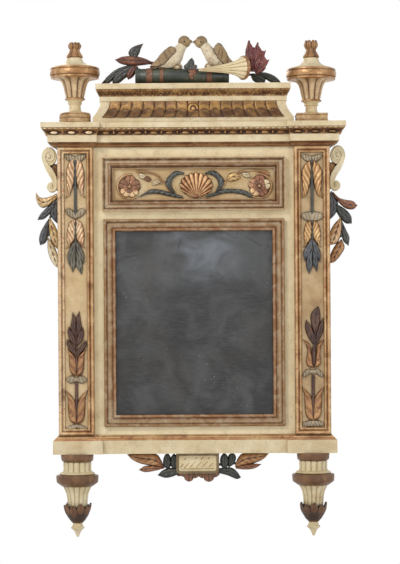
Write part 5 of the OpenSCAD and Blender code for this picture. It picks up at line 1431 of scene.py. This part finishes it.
# Leaves at each side: paint, depth, rib, veins, their depth and shade, lift, and the two edges
SIDE_LEAVES = {-1: (
    ("slate_leaf", 21, 1.4, 4, 0.8, 0.25, 0, [(0, 762), (-1, 738), (0, 712), (5, 686)],
     [(4, 766), (28, 744), (29, 720), (18, 699), (5, 686)]),
    ("slate_leaf", 23, 1.6, 4, 0.9, 0.25, 2, [(8, 756), (24, 744), (44, 728), (57, 713), (64, 697)],
     [(10, 738), (22, 720), (33, 709), (46, 699), (64, 697)]),
    ("gilt_side", 25, 1.4, 5, 1.0, 0.4, 2, [(6, 777), (25, 768), (42, 764), (57, 766), (67, 779)],
     [(3, 762), (17, 749), (32, 738), (48, 733), (61, 743), (68, 762), (67, 779)]),
    ("slate_leaf", 22, 1.6, 4, 0.9, 0.25, 2, [(29, 704), (44, 682), (55, 661), (60, 640),
                                              (57, 622)],
     [(27, 704), (30, 670), (34, 640), (44, 626), (57, 622)]),
    ("gilt_side", 24, 1.4, 5, 1.0, 0.4, 0, [(28, 704), (31, 677), (27, 644), (16, 622), (4, 608)],
     [(26, 704), (12, 682), (3, 660), (0, 636), (4, 608)]),
    ("silver_leaf", 26, 1.4, 5, 1.0, 0.4, 0, [(34, 646), (34, 610), (26, 580), (13, 560), (2, 552)],
     [(32, 646), (20, 630), (8, 606), (1, 582), (2, 552)]),
), 1: (
    ("slate_leaf", 21, 1.4, 4, 0.8, 0.25, 0, [(8, 780), (23, 756), (29, 737), (21, 711), (5, 694)],
     [(8, 780), (-1, 762), (-1, 735), (0, 712), (5, 694)]),
    ("dark_leaf", 23, 1.6, 4, 0.9, 0.25, 2, [(18, 744), (40, 731), (57, 718), (68, 701), (69, 681)],
     [(16, 740), (24, 714), (37, 694), (52, 681), (69, 681)]),
    ("brown_leaf", 26, 1.6, 5, 1.1, 0.45, 2, [(12, 778), (31, 759), (52, 752), (73, 748),
                                              (86, 734)],
     [(12, 768), (21, 755), (36, 737), (53, 725), (73, 723), (86, 734)]),
    ("dark_leaf", 22, 1.6, 4, 0.9, 0.25, 0, [(37, 696), (53, 661), (62, 640), (59, 614)],
     [(36, 694), (36, 668), (38, 646), (44, 627), (59, 614)]),
    ("gilt_rose_leaf", 25, 1.4, 5, 1.1, 0.45, 0,
     [(36, 700), (39, 673), (35, 643), (23, 622), (4, 617)],
     [(34, 700), (17, 682), (5, 661), (0, 640), (4, 617)]),
    ("pendant_gilt", 26, 1.4, 5, 1.1, 0.45, 0, [(38, 636), (47, 610), (33, 584), (16, 566),
                                                (2, 563)],
     [(36, 634), (21, 620), (9, 601), (2, 580), (2, 563)]),
)}
SIDE_STEMS = {-1: (4.0, ((4, 772), (10, 752), (20, 726), (27, 700), (30, 672), (32, 648))),
              1: (4.2, ((6, 774), (16, 752), (27, 726), (35, 700), (37, 672), (37, 640)))}


def outward(side):
    """Turns places beside the case into places of the scene."""
    return lambda points: [(side * (CASE_HALF + p[0]), p[1]) for p in points]


def dress_sides():
    for side, name in ((-1, "left"), (1, "right")):
        out = outward(side)
        scroll = Piece(f"side_scroll_{name}_carved", "ivory", f"side_scroll_{name}")
        for centre, radii in ((SCROLL_EYE, (22, 28)), (SCROLL_FOOT, (14.5, 15.5))):
            scroll.slab(out(on_circle(centre, radii, 12 * k) for k in range(30)), 20, 42.5,
                        "scroll_ivory", edge=1.5)
        band = [on_circle(SCROLL_EYE, [r * (1 - 0.60 * i / 13) for r in (17.5, 23)], 30 * i - 40)
                for i in reversed(range(14))]
        band += [(33, 855), (21, 836), (12, 818)]
        band += [on_circle(SCROLL_FOOT, [10.5 * (1 - 0.45 * i / 7)] * 2, 170 + 42 * i)
                 for i in range(8)]
        ribbon(scroll, out(band), SCROLL_WIDTHS, 21, 46, "scroll_ivory", hollow=1.0, steps=130)
        for place, radii, sides in ((SCROLL_EYE, (5.5, 8.0, 4), 22),
                                    (SCROLL_FOOT, (4.6, 4.6, 3.5), 20)):
            scroll.ball(out([place])[0] + (42,), radii, "scroll_ivory", sides, 11)
        scroll.slab(out([(-1, 866), (14, 864), (28, 856), (22, 836), (13, 818), (10, 800), (9, 786),
                         (-1, 782)]), 22, 28, "scroll_brown", edge=2.0)
        petal(scroll, out([(0, 864), (14, 862), (24, 855), (22, 844), (11, 830), (0, 812)]),
              out([(-1, 864), (-1, 850), (-1, 838), (-1, 830), (-1, 820), (0, 812)]), 27,
              "scroll_brown", veins=5, vein=1.2, slant=0.7)
        scroll.make()

    for side, name in ((-1, "left"), (1, "right")):
        out = outward(side)
        spray = Piece(f"side_leaves_{name}_carved", "dark_green", f"side_leaves_{name}")
        for kind, depth, rib, veins, vein, ink, lift, edge_a, edge_b in SIDE_LEAVES[side]:
            petal(spray, out(edge_a), out(edge_b), depth, kind, rise=9, rib=rib, veins=veins,
                  vein=vein, ink=ink, lift=lift)
        thick, stem = SIDE_STEMS[side]
        spray.tube([p + (27,) for p in out(stem)], lambda s: thick - 1.0 * s, "dark_leaf")
        spray.make()


# Frieze: the shell in the middle, a scroll and a rosette on each side

SHELL_MIDDLE, SHELL_FOOT = (5, 796.5), (8, 759)
SHELL_WIDE, SHELL_TALL = 50, 37.5
SHELL_RIBS, SHELL_SPREAD = 13, 84

# Each scroll: the edges of its arm and its horn, its stem, the rosette's middle, the angles of the
# coil round it, and small leaves
SCROLLS = {-1: (
    [(-32, 764), (-72, 776), (-98, 783), (-125, 784.5), (-143, 776), (-165, 761)],
    [(-32, 757), (-68, 762), (-106, 770), (-136, 769.5), (-150, 765), (-165, 761)],
    [(-28, 834), (-54, 838), (-72, 825.5), (-83, 808), (-82, 793), (-62, 771)],
    [(-28, 828), (-46, 825), (-61, 814), (-65, 796), (-56, 778), (-50, 766)],
    [(-170, 838), (-132, 834), (-106, 824), (-87, 803), (-66, 775), (-34, 759)],
    (-190, 792), range(78, 312, 9),
    (([(-162, 823), (-158, 833), (-146, 829), (-140, 823)],
      [(-162, 823), (-154, 815), (-146, 816), (-140, 823)], "silver_leaf"),
     ([(-152, 815), (-142, 823), (-132, 822), (-124, 813)],
      [(-152, 815), (-142, 809), (-132, 807), (-124, 813)], "petal_brown"),
     ([(-124, 797), (-114, 812), (-102, 811), (-92, 800)],
      [(-124, 797), (-114, 796), (-104, 799), (-92, 800)], "petal_cream")),
), 1: (
    [(38, 764), (66, 776), (88, 784), (114, 784.5), (144, 782), (163, 774), (178, 759)],
    [(38, 757), (64, 763), (86, 769), (116, 771), (146, 766), (166, 758), (178, 759)],
    [(34, 834), (60, 839), (78, 828), (91, 810), (88, 792), (68, 771)],
    [(34, 828), (50, 826), (66, 816), (73, 798), (66, 780), (56, 766)],
    [(222, 834), (190, 838), (158, 838), (126, 830), (100, 812), (86, 790), (62, 771), (40, 759)],
    (195, 792), range(102, -132, -9),
    (([(100, 808), (106, 829), (126, 832), (141, 818)],
      [(100, 808), (112, 806), (128, 809), (141, 818)], "gilt_pale"),
     ([(141, 826), (150, 834), (164, 830), (172, 820)],
      [(141, 826), (150, 819), (162, 816), (172, 820)], "silver_leaf"),
     ([(196, 836), (208, 838), (222, 832), (230, 820)],
      [(196, 836), (208, 829), (220, 824), (230, 820)], "peach_leaf")),
)}


def dress_frieze():
    shell = Piece("frieze_shell_carved", "gilding", "frieze_shell")
    steps, count = 26, SHELL_RIBS * 12
    rows, marks = [], []
    for j in range(steps + 1):
        s = 0.10 + 0.90 * j / steps
        row, mark = [], []
        for i in range(count + 1):
            a = math.radians(SHELL_SPREAD * (2 * i / count - 1))
            bend = (math.sin(a) / SHELL_WIDE) ** 2 + (math.cos(a) / SHELL_TALL) ** 2
            beat = abs(math.sin(math.pi * SHELL_RIBS * i / count))
            reach = max(2 * math.cos(a) / SHELL_TALL / bend, 15)
            reach *= s * (1 - 0.05 * (1 - beat) * s ** 3)
            z = 2.5 + 9.0 * math.sin(math.pi * min(1, 0.08 + 0.80 * s)) ** 0.8
            z += 3.4 * (beat ** 0.7 - 0.7) * min(1, s * 1.6)
            row.append((SHELL_FOOT[0] + reach * math.sin(a), SHELL_FOOT[1] + reach * math.cos(a),
                        FIELD_D + (0.0 if j == steps else z)))
            # painted light and shade: paler ribs and middle, darker hollows between ribs, dark rim
            mark.append(1.3 * (beat - 0.80) + 0.45 * hump(i / count, 0.5, 0.16)
                        - (0.9 if j >= steps - 1 else 0.0))
        rows.append(row)
        marks.append(mark)
    shell.skin(rows, "shell_gilt", closed=False, relief=marks)
    shell.ball((SHELL_FOOT[0] - 1, SHELL_FOOT[1] + 4, FIELD_D + 6), (10, 6, 6), "copper")
    shell.ball((SHELL_MIDDLE[0], SHELL_MIDDLE[1] - 6, FIELD_D + 1), (34, 24, 4), "shell_gilt")
    shell.make()

    for side, name in ((-1, "left"), (1, "right")):
        scroll = Piece(f"frieze_scroll_{name}_carved", "gilding", f"frieze_scroll_{name}")
        d = FIELD_D
        arm_top, arm_low, horn_out, horn_in, stem, centre, coil, small = SCROLLS[side]
        petal(scroll, arm_top, arm_low, d, "frieze_green", rise=9, back=2.5, veins=8, vein=1.5,
              steps=46, ink=0.5)
        petal(scroll, horn_out, horn_in, d, "frieze_green", rise=10, back=2.5, veins=6, vein=1.4,
              steps=42, ink=0.5)
        scroll.tube([(p.x, p.y, d + 4) for p in resampled(spline(stem, 8), 44)],
                    lambda s: 3.0 - 0.6 * s, "stem_gilt")
        scroll.tube([on_circle(centre, (36, 36), a) + (d + 3.5,) for a in coil],
                    lambda s: 3.8 - 1.2 * s, "stem_gilt")
        rosette(scroll, centre, d, side)
        for upper, lower, kind in small:
            petal(scroll, upper, lower, d, kind, back=2.5, rib=1.2, veins=3, ink=0.5)
        scroll.make()


def rosette(piece, centre, d, side):
    """Round flower of broad lapping petals that differ in colour, as the paint has worn."""
    kinds = (["petal_brown", "copper", "petal_brown", "petal_gold", "petal_gold"] if side < 0 else
             ["silver_leaf", "copper", "peach_leaf", "petal_gold", "copper"])
    for layer, (reach, wide, start, rise) in enumerate(((32, 35, 5, 6), (20, 21, 3, 4.5))):
        for i, kind in enumerate(kinds):
            run = unit(360 * (i + 0.5 * layer) / len(kinds) + 14)
            square = Vector((-run.y, run.x))
            root = Vector(centre) + run * start
            left, right = ([root, root + run * (0.45 * reach) + square * (flip * 0.46 * wide),
                            root + run * (0.78 * reach) + square * (flip * 0.38 * wide),
                            root + run * (reach - 5)] for flip in (1, -1))
            petal(piece, left, right, d + 2.6 * layer,
                  kind if layer == 0 else "petal_brown" if i % 2 else "copper", rise=rise, back=2,
                  rib=1.2, veins=2, steps=16, ink=0.3)
    piece.tube([on_circle(centre, (5, 5), 36 * k) + (d + 8.4,) for k in range(11)], lambda s: 1.8,
               "petal_brown", sides=8)
    piece.ball((*centre, d + 7.4), (3.6, 3.6, 3.4), "gilt_pale", 12, 7)


# Pilasters: carving about the panel's middle line

# Each side's husks: their paint and the spray's, the cup's top, levels of the top, the widest place
# and the tip with the reach of both husks, the second cup's edges, and the tips of the spray
HUSKS = {
    -1: ("gilt_rose_leaf", "olive_leaf", 886, (877, 835, 758), 30, (694, 655, 609), 29,
         [(0, 696), (14, 701), (26, 711), (30, 724)], [(0, 713), (8, 722), (18, 728), (30, 724)],
         ((-9, 538), (17, 531), (-21, 560), (24, 562))),
    1: ("gilt_leaf", "slate_leaf", 883, (868, 835, 754), 33, (688, 655, 609), 28,
        [(-1, 685), (14, 686), (27, 692), (32, 701)], [(-1, 714), (14, 714), (27, 710), (32, 701)],
        ((-10, 529), (13, 535), (-23, 566), (23, 563))),
}
# Leaves of the spray: how far out, veins, and the start of both edges; the point before the tip is
# measured from it, but for the x of the second edge
SPRAY = (
    (0, 3, ((-1, 604), (-15, 592)), (-9, 26), ((1, 604), (1, 580)), (1, 24)),
    (0.8, 3, ((0, 604), (15, 592)), (4, 26), ((-1, 604), (1, 580)), (1, 26)),
    (2.4, 4, ((1, 636), (-13, 618)), (-4, 28), ((1, 636), (1, 612)), (-3, 32)),
    (2.4, 4, ((-1, 636), (13, 618)), (1, 30), ((-1, 636), (1, 612)), (6, 30)),
)
# Left upper tulip's leaves, the lower pairs on top: root, width and tips
LEAF_PAIRS = ((346, 17, ((-10, 421), (10, 424))), (318, 20, ((-22, 378), (20, 376))),
              (290, 19, ((-25, 342), (28, 338))))
# Right upper tulip: one leaf over two, and a cup whose lips curl outward round a long bud
RIGHT_LEAVES = (
    ([(6, 350), (-5, 382), (-6, 408), (4, 424), (17, 434)],
     [(9, 350), (20, 378), (23, 404), (21, 422), (17, 434)]),
    ([(4, 316), (-11, 337), (-21, 360), (-23, 378), (-19, 395)],
     [(7, 316), (7, 338), (3, 358), (-6, 377), (-19, 395)]),
    ([(8, 316), (21, 337), (30, 358), (33, 380), (30, 400)],
     [(5, 316), (8, 340), (12, 361), (19, 379), (30, 400)]),
)
RIGHT_CUP = (
    ([(3, 252), (-15, 256), (-20, 273), (-16, 299), (-20, 318), (-29, 336)],
     [(2, 252), (-2, 275), (-4, 298), (-7, 316), (-14, 327), (-29, 336)]),
    ([(3, 252), (18, 256), (24, 273), (21, 296), (25, 316), (32, 336)],
     [(4, 252), (8, 275), (10, 298), (12, 314), (18, 326), (32, 336)]),
)
# Between and under the tulips: edges of the bow, its knot, levels of the lower tulip, and edges of
# the flat spreading foot
BOWS = {
    -1: ([(0, 224), (9, 232), (20, 232.5), (30, 223)], [(0, 219), (9, 211), (20, 210), (30, 219)],
         221, (90, 190),
         [(0, 90), (12, 88), (25, 82), (32, 75)], [(0, 77), (9, 74), (20, 73), (32, 75)]),
    1: ([(0, 245), (12, 249), (24, 243), (31, 227)], [(0, 235), (10, 234), (20, 226), (31, 224)],
        240, (96, 196),
        [(-1, 98), (14, 96), (27, 92), (31, 86)], [(-1, 79), (14, 78), (27, 80), (31, 86)]),
}


def husk(piece, x, levels, reach, depth, kind):
    """Two half leaves that hang from a point; levels of the top, the widest place and the tip."""
    top, wide, tip = levels
    h = top - tip
    pair_of_petals(piece, x, [(3, top), (18, top - 0.10 * h), (reach - 3, wide),
                              (reach - 4, wide - 0.30 * h), (reach - 6, tip + 0.12 * h),
                              (reach, tip)],
                   [(0.8, top), (0.8, wide), (3.5, wide - 0.26 * h), (11, tip + 0.20 * h),
                    (17, tip + 0.07 * h), (reach, tip)], depth, rise=8, kind=kind, back=2, veins=6,
                   vein=1.5, slant=1.5, steps=40, across=14, ink=0.6)


def cup(piece, x, edge_a, edge_b, depth, veins=4, vein=0.8, slant=0.8, ink=0.5):
    """Shallow cup or bow of two lobes."""
    pair_of_petals(piece, x, edge_a, edge_b, depth, kind="cup_olive", back=2, veins=veins,
                   vein=vein, slant=slant, ink=ink)


def tulip_petal(piece, outer, inner, depth):
    """Half of a tulip, pointed and curled outward."""
    petal(piece, outer, inner, depth, "tulip_gilt", rise=8, back=2, veins=3, vein=1.3, slant=-1.1,
          steps=34, across=14)


def tulip(piece, x, foot, high, reach, depth):
    """Cup of two broad pointed petals with a dark pistil between them."""
    h = high - foot
    outer = ((0, 0.0), (0.50 * reach, 0.05), (0.72 * reach, 0.22), (0.80 * reach, 0.50),
             (0.82 * reach, 0.76), (reach, 1.0))
    inner = ((-0.6, 0.0), (0.4, 0.35), (2.5, 0.60), (0.34 * reach, 0.78), (0.58 * reach, 0.88),
             (reach, 1.0))
    for flip in (-1, 1):
        tulip_petal(piece, *([(x + flip * p[0], foot + p[1] * h) for p in edge]
                             for edge in (outer, inner)), depth)
    piece.ball((x, foot + 0.34 * h, depth + 3.5), (4.0, 0.28 * h, 4.6), "aubergine", 14, 9)


def dress_pilasters():
    d = PILASTER_D
    for side, name in ((-1, "left"), (1, "right")):
        x = side * PILASTER_X

        def on(points):
            return [(x + p[0], p[1]) for p in points]

        husks = Piece(f"husk_drop_{name}_carved", "gilding", f"husk_drop_{name}")
        (kind, spray_kind, top, levels, reach, low_levels, low_reach, edge_a, edge_b,
         tips) = HUSKS[side]
        cup(husks, x, [(0, top - 22), (13, top - 21), (25, top - 14), (32, top)],
            [(0, top - 4), (10, top), (22, top + 1), (32, top)], d, vein=0.9, ink=0.6)
        husk(husks, x, levels, reach, d, kind)
        husks.tube([(x, y, d + 4.5) for y in (872, 840, 800, 760, 708)],
                   lambda s: 1.8 + 2.2 * min(1, 2.4 * s), "dark_leaf", sides=12)
        husks.ball((x, 862, d + 6), (4.4, 11, 5), "dark_leaf")
        cup(husks, x, edge_a, edge_b, d + 1)
        husk(husks, x, low_levels, low_reach, d, kind)
        husks.tube([(x, y, d + 4.5) for y in (690, 660, 630, 600)], lambda s: 2.4, "dark_leaf")
        husks.ball((x, 682, d + 5), (3.6, 8, 4.4), "dark_leaf", 12)
        # spray of broad leaves that hangs out of the second husk
        for tip, (out, veins, start_a, before_a, start_b, before_b) in zip(tips, SPRAY):
            petal(husks, on([*start_a, (tip[0] + before_a[0], tip[1] + before_a[1]), tip]),
                  on([*start_b, (before_b[0], tip[1] + before_b[1]), tip]), d + out, spray_kind,
                  rise=7, back=2, rib=1.6, veins=veins, ink=0.35)
        husks.make()

        tulips = Piece(f"tulip_spray_{name}_carved", "red_brown", f"tulip_spray_{name}")

        def leaf(outer, inner, out=0.0):
            petal(tulips, on(outer), on(inner), d + out, "aubergine", rise=7, back=2, rib=1.5,
                  veins=4, vein=0.7, ink=0.35)

        if side < 0:
            for row, (root, wide, tips) in enumerate(LEAF_PAIRS):
                for tip in tips:
                    face = math.copysign(1, tip[0])
                    h = tip[1] - root
                    leaf([(face * 2, root), (face * (6 + 0.62 * wide), root + 0.30 * h),
                          (tip[0] + face * 3.5, root + 0.70 * h), tip],
                         [(-face * 1, root), (face * 0.8, root + 0.34 * h),
                          (tip[0] - face * 0.60 * wide, root + 0.72 * h), tip], 1.2 * row)
            tulips.tube([(x, y, d + 3.5) for y in (252, 300, 330, 380)], lambda s: 3.4 - 1.6 * s,
                        "aubergine")
            tulip(tulips, x + 1, 232, 313, 28, d)
        else:
            for outer, inner in RIGHT_LEAVES:
                leaf(outer, inner)
            tulips.tube([p + (d + 4,) for p in on([(3, 262), (4, 300), (6, 330), (7, 362)])],
                        lambda s: 3.6 - 1.2 * s, "aubergine")
            for outer, inner in RIGHT_CUP:
                tulip_petal(tulips, on(outer), on(inner), d)
            tulips.ball((x + 3, 288, d + 3.5), (6.0, 34, 4.6), "aubergine", 16, 13)

        bow_a, bow_b, knot, levels, foot_a, foot_b = BOWS[side]
        cup(tulips, x, bow_a, bow_b, d + 1, veins=3, vein=1.0, slant=0.7)
        tulips.ball((x, knot, d + 5), (5.5, 6.5, 4), "cup_olive", 14, 7)
        tulips.tube([(x, y, d + 3) for y in (216 if side < 0 else 230, 180, 150, 120)],
                    lambda s: 4.6, "aubergine", sides=12)
        tulip(tulips, x, *levels, 32, d)
        cup(tulips, x, foot_a, foot_b, d)
        tulips.make()


# Pendant under the plinth

PENDANT_D = 36
# Paint, rib, veins, their depth and shade
DARK_LEAF = ("pendant_dark", 1.5, 4, 0.8, 0.3)
GILT_LEAF = ("pendant_gilt", 1.3, 6, 1.2, 0.4)
# Leaves: how far out, look and the two edges
PENDANT_LEAVES = (
    (1, DARK_LEAF, [(-80, -50), (-94, -40), (-96, -20), (-90, -5), (-84, -1)],
     [(-80, -50), (-72, -36), (-72, -16), (-78, -4), (-84, -1)]),
    (3, DARK_LEAF, [(-62, -50), (-73, -38), (-73, -14), (-64, -1)],
     [(-62, -50), (-50, -38), (-50, -14), (-64, -1)]),
    (5, DARK_LEAF, [(-46, -48), (-74, -44), (-97, -51), (-113, -66)],
     [(-46, -60), (-66, -70), (-90, -74), (-113, -66)]),
    (3, DARK_LEAF, [(86, -50), (75, -36), (75, -14), (84, -1)],
     [(86, -50), (98, -38), (99, -16), (92, -4), (84, -1)]),
    (1, DARK_LEAF, [(98, -46), (97, -26), (99, -8), (108, -1)],
     [(98, -46), (115, -34), (122, -16), (117, -4), (108, -1)]),
    (5, DARK_LEAF, [(66, -46), (106, -44), (125, -57), (136, -74)],
     [(66, -60), (96, -68), (123, -79), (136, -74)]),
    (2, GILT_LEAF, [(-94, -38), (-103, -18), (-118, -2), (-160, -1), (-203, -3)],
     [(-94, -42), (-126, -38), (-152, -34), (-172, -28), (-191, -17), (-203, -3)]),
    (1, ("brown_leaf", 1.5, 4, 1.0, 0.3), [(-92, -42), (-120, -38), (-150, -38), (-169, -50)],
     [(-92, -46), (-120, -53), (-150, -57), (-169, -50)]),
    (2, GILT_LEAF, [(118, -38), (126, -18), (142, -2), (178, -1), (220, -3)],
     [(118, -43), (142, -39), (176, -32), (203, -20), (220, -3)]),
    (3, ("brown_leaf", 1.5, 4, 1.0, 0.5), [(120, -42), (146, -37), (174, -33), (198, -35)],
     [(120, -48), (148, -51), (176, -48), (198, -35)]),
)


def dress_pendant():
    (x0, foot, back), (x1, top, front) = box_mm("pendant_tablet")
    middle = ((x0 + x1) / 2, (top + foot) / 2)

    def outline(inset, z):
        corner = max(3, 14 - inset)
        points = [(x0 + inset, top - inset), (x1 - inset, top - inset)]
        for start, x in ((0, x1 - inset - corner), (-90, x0 + inset + corner)):
            points += [on_circle((x, foot + inset + corner), (corner, corner), start - 15 * k)
                       for k in range(7)]
        return [p + (z,) for p in points]

    def shrunk(row, share, rise):
        return [(*(m + (v - m) * share for m, v in zip(middle, p)), p[2] + rise) for p in row]

    tablet = Piece("pendant_tablet_carved", "silver_gilt", "pendant_tablet")
    tablet.skin([outline(inset, z) for inset, z in (
        (0, back), (0, front - 2.5), (0.8, front - 0.8), (2.0, front), (4.6, front),
        (6.2, front - 0.8), (7, front - 4.5))], "tablet_frame", ends=False)
    rows = [outline(inset, front - z) for inset, z in ((6.8, 4.8), (7.5, 4.0), (8.5, 3.6))]
    rows.append(shrunk(rows[-1], 0.5, 0.4))
    tablet.skin(rows, "ivory_carved", ends=False)
    tablet.skin([rows[-1], shrunk(rows[-1], 0.02, 0.1)], "ivory_carved")
    floor = front - 3.4
    for x, y, reach in ((-40, 20, 9), (-26, 18, 13), (-8, 20, 15), (10, 19, 15), (28, 20, 15),
                        (46, 20, 11), (-30, 42, 6), (2, 44, 5), (20, 43, 6), (40, 44, 5)):
        tablet.tube([(x - reach * 0.5, foot + y, floor),
                     (x + reach * 0.6, foot + y + reach * 1.2, floor)], [1.1, 0.7], "brown_rim",
                    sides=8)
    tablet.tube([(x0 + 16, foot + 15, floor), (x1 - 16, foot + 16, floor)], [0.8, 0.8], "brown_rim",
                sides=8)
    tablet.make()

    leaves = Piece("pendant_leaves_carved", "dark_green", "pendant_leaves")

    def leaf(out, look, edge_a, edge_b):
        kind, rib, veins, vein, ink = look
        petal(leaves, edge_a, edge_b, PENDANT_D + out, kind, rise=8, rib=rib, veins=veins,
              vein=vein, ink=ink)

    for row in PENDANT_LEAVES:
        leaf(*row)
    for x, y, wide in ((-34, -72, 22), (-1, -76, 22), (21, -76, 22), (57, -74, 24), (-19, -86, 22),
                       (40, -87, 24)):
        leaf(2, ("brown_leaf", 1.0, 2, 0.8, 0.2),
             *([(x, -48), (x + flip * wide * 0.6, -58), (x + flip * wide * 0.62, y + 9),
                (x + flip * wide * 0.3, y + 2), (x, y)] for flip in (-1, 1)))
    for face, x in ((-1, x0), (1, x1)):
        leaf(0, ("brown_leaf", 1.5, 2, 0.8, 0.4),
             [(x - face * 22, foot + 4), (x - face * 6, foot + 2), (x, foot + 14)],
             [(x - face * 20, foot - 7), (x - face * 2, foot - 6), (x, foot + 14)])
    for path in (((-40, -40), (-70, -34), (-94, -36), (-120, -30)),
                 ((60, -36), (90, -34), (118, -32), (140, -26))):
        leaves.tube([p + (PENDANT_D + 5,) for p in path], lambda s: 4.5 - 1.6 * s, "pendant_dark")
    leaves.make()


# Stage: a pale floor that fades into a white background

FLOOR_LEVEL = -2.60
FLOOR_SIDES = 96
AMBIENT = 0.42


def build_stage():
    mesh = bpy.data.meshes.new("floor")
    work = bmesh.new()
    centre = work.verts.new((0, 0, 0))
    rings = [[work.verts.new(on_circle((0, 0), (r, r), 360 * k / FLOOR_SIDES) + (0,))
              for k in range(FLOOR_SIDES)] for r in (1.0, 3.0, 7.0, 30.0)]
    for k in range(FLOOR_SIDES):
        n = (k + 1) % FLOOR_SIDES
        work.faces.new((centre, rings[0][k], rings[0][n]))
        for a, b in zip(rings, rings[1:]):
            work.faces.new((a[k], b[k], b[n], a[n]))
    work.to_mesh(mesh)
    work.free()
    floor = bpy.data.objects.new("floor", mesh)
    floor.location = (0, -0.5, FLOOR_LEVEL)
    bpy.context.collection.objects.link(floor)
    s = Shader("floor")
    plaster = s.noise(3.0, 4.0)
    tone = s.mix(s.ramp(plaster, 0.4, 0.6, 0.0, 0.5), srgb("e2e1de"), srgb("dcdbd8"))
    s.finish(tone, s.noise(60, 3.0), 0.0004, s.ramp(plaster, 0.4, 0.6, 0.75, 0.85))
    away = s.add("VectorMath", {0: s.place}, operation="LENGTH").outputs["Value"]
    blend = s.add("MixShader", {0: s.ramp(away, 1.2, 3.2), 1: s.bsdf.outputs[0],
                                2: s.add("Emission", {"Strength": 1.0}).outputs[0]})
    output = next(n for n in s.tree.nodes if n.type == "OUTPUT_MATERIAL")
    s.put(output.inputs["Surface"], blend.outputs[0])
    mesh.materials.append(s.material)


def build_world():
    world = bpy.data.worlds.new("world")
    bpy.context.scene.world = world
    world.use_nodes = True
    w = Nodes(world.node_tree)
    soft = w.tree.nodes["Background"]
    w.put(soft.inputs["Color"], (1, 1, 1, 1))
    w.put(soft.inputs["Strength"], AMBIENT)
    white = w.add("Background", {"Color": (1, 1, 1, 1), "Strength": 1.0})
    path = w.add("LightPath").outputs
    clear = w.maths("MAXIMUM", path["Is Glossy Ray"], path["Is Transmission Ray"])
    seen = w.maths("MAXIMUM", path["Is Camera Ray"], clear)
    blend = w.add("MixShader", {0: seen, 1: soft.outputs[0], 2: white.outputs[0]})
    w.put(w.tree.nodes["World Output"].inputs["Surface"], blend.outputs[0])


def lamp(name, place, aim, size, power, tint=(1, 1, 1)):
    data = bpy.data.lights.new(name, "AREA")
    data.shape = "DISK"
    data.size, data.energy, data.color = size, power, tint
    thing = bpy.data.objects.new(name, data)
    thing.location = place
    thing.rotation_euler = (Vector(aim) - Vector(place)).to_track_quat("-Z", "Y").to_euler()
    bpy.context.collection.objects.link(thing)


build_world()
build_stage()
lamp("key", (-2.2, -3.4, 2.2), (0, 0, -0.3), 1.6, 78, (1.0, 0.985, 0.96))
lamp("fill", (2.8, -3.6, 0.2), (0, 0, -0.4), 2.4, 26, (0.98, 0.99, 1.0))
lamp("back", (-1.2, 2.6, 1.6), (0, 0, -0.3), 2.4, 40)

for dress in (dress_case, dress_cornice, dress_attic, dress_urns, dress_drops, dress_laurels,
              dress_quiver, dress_torch, dress_knot, dress_doves, dress_sides, dress_frieze,
              dress_pilasters, dress_pendant):
    dress()
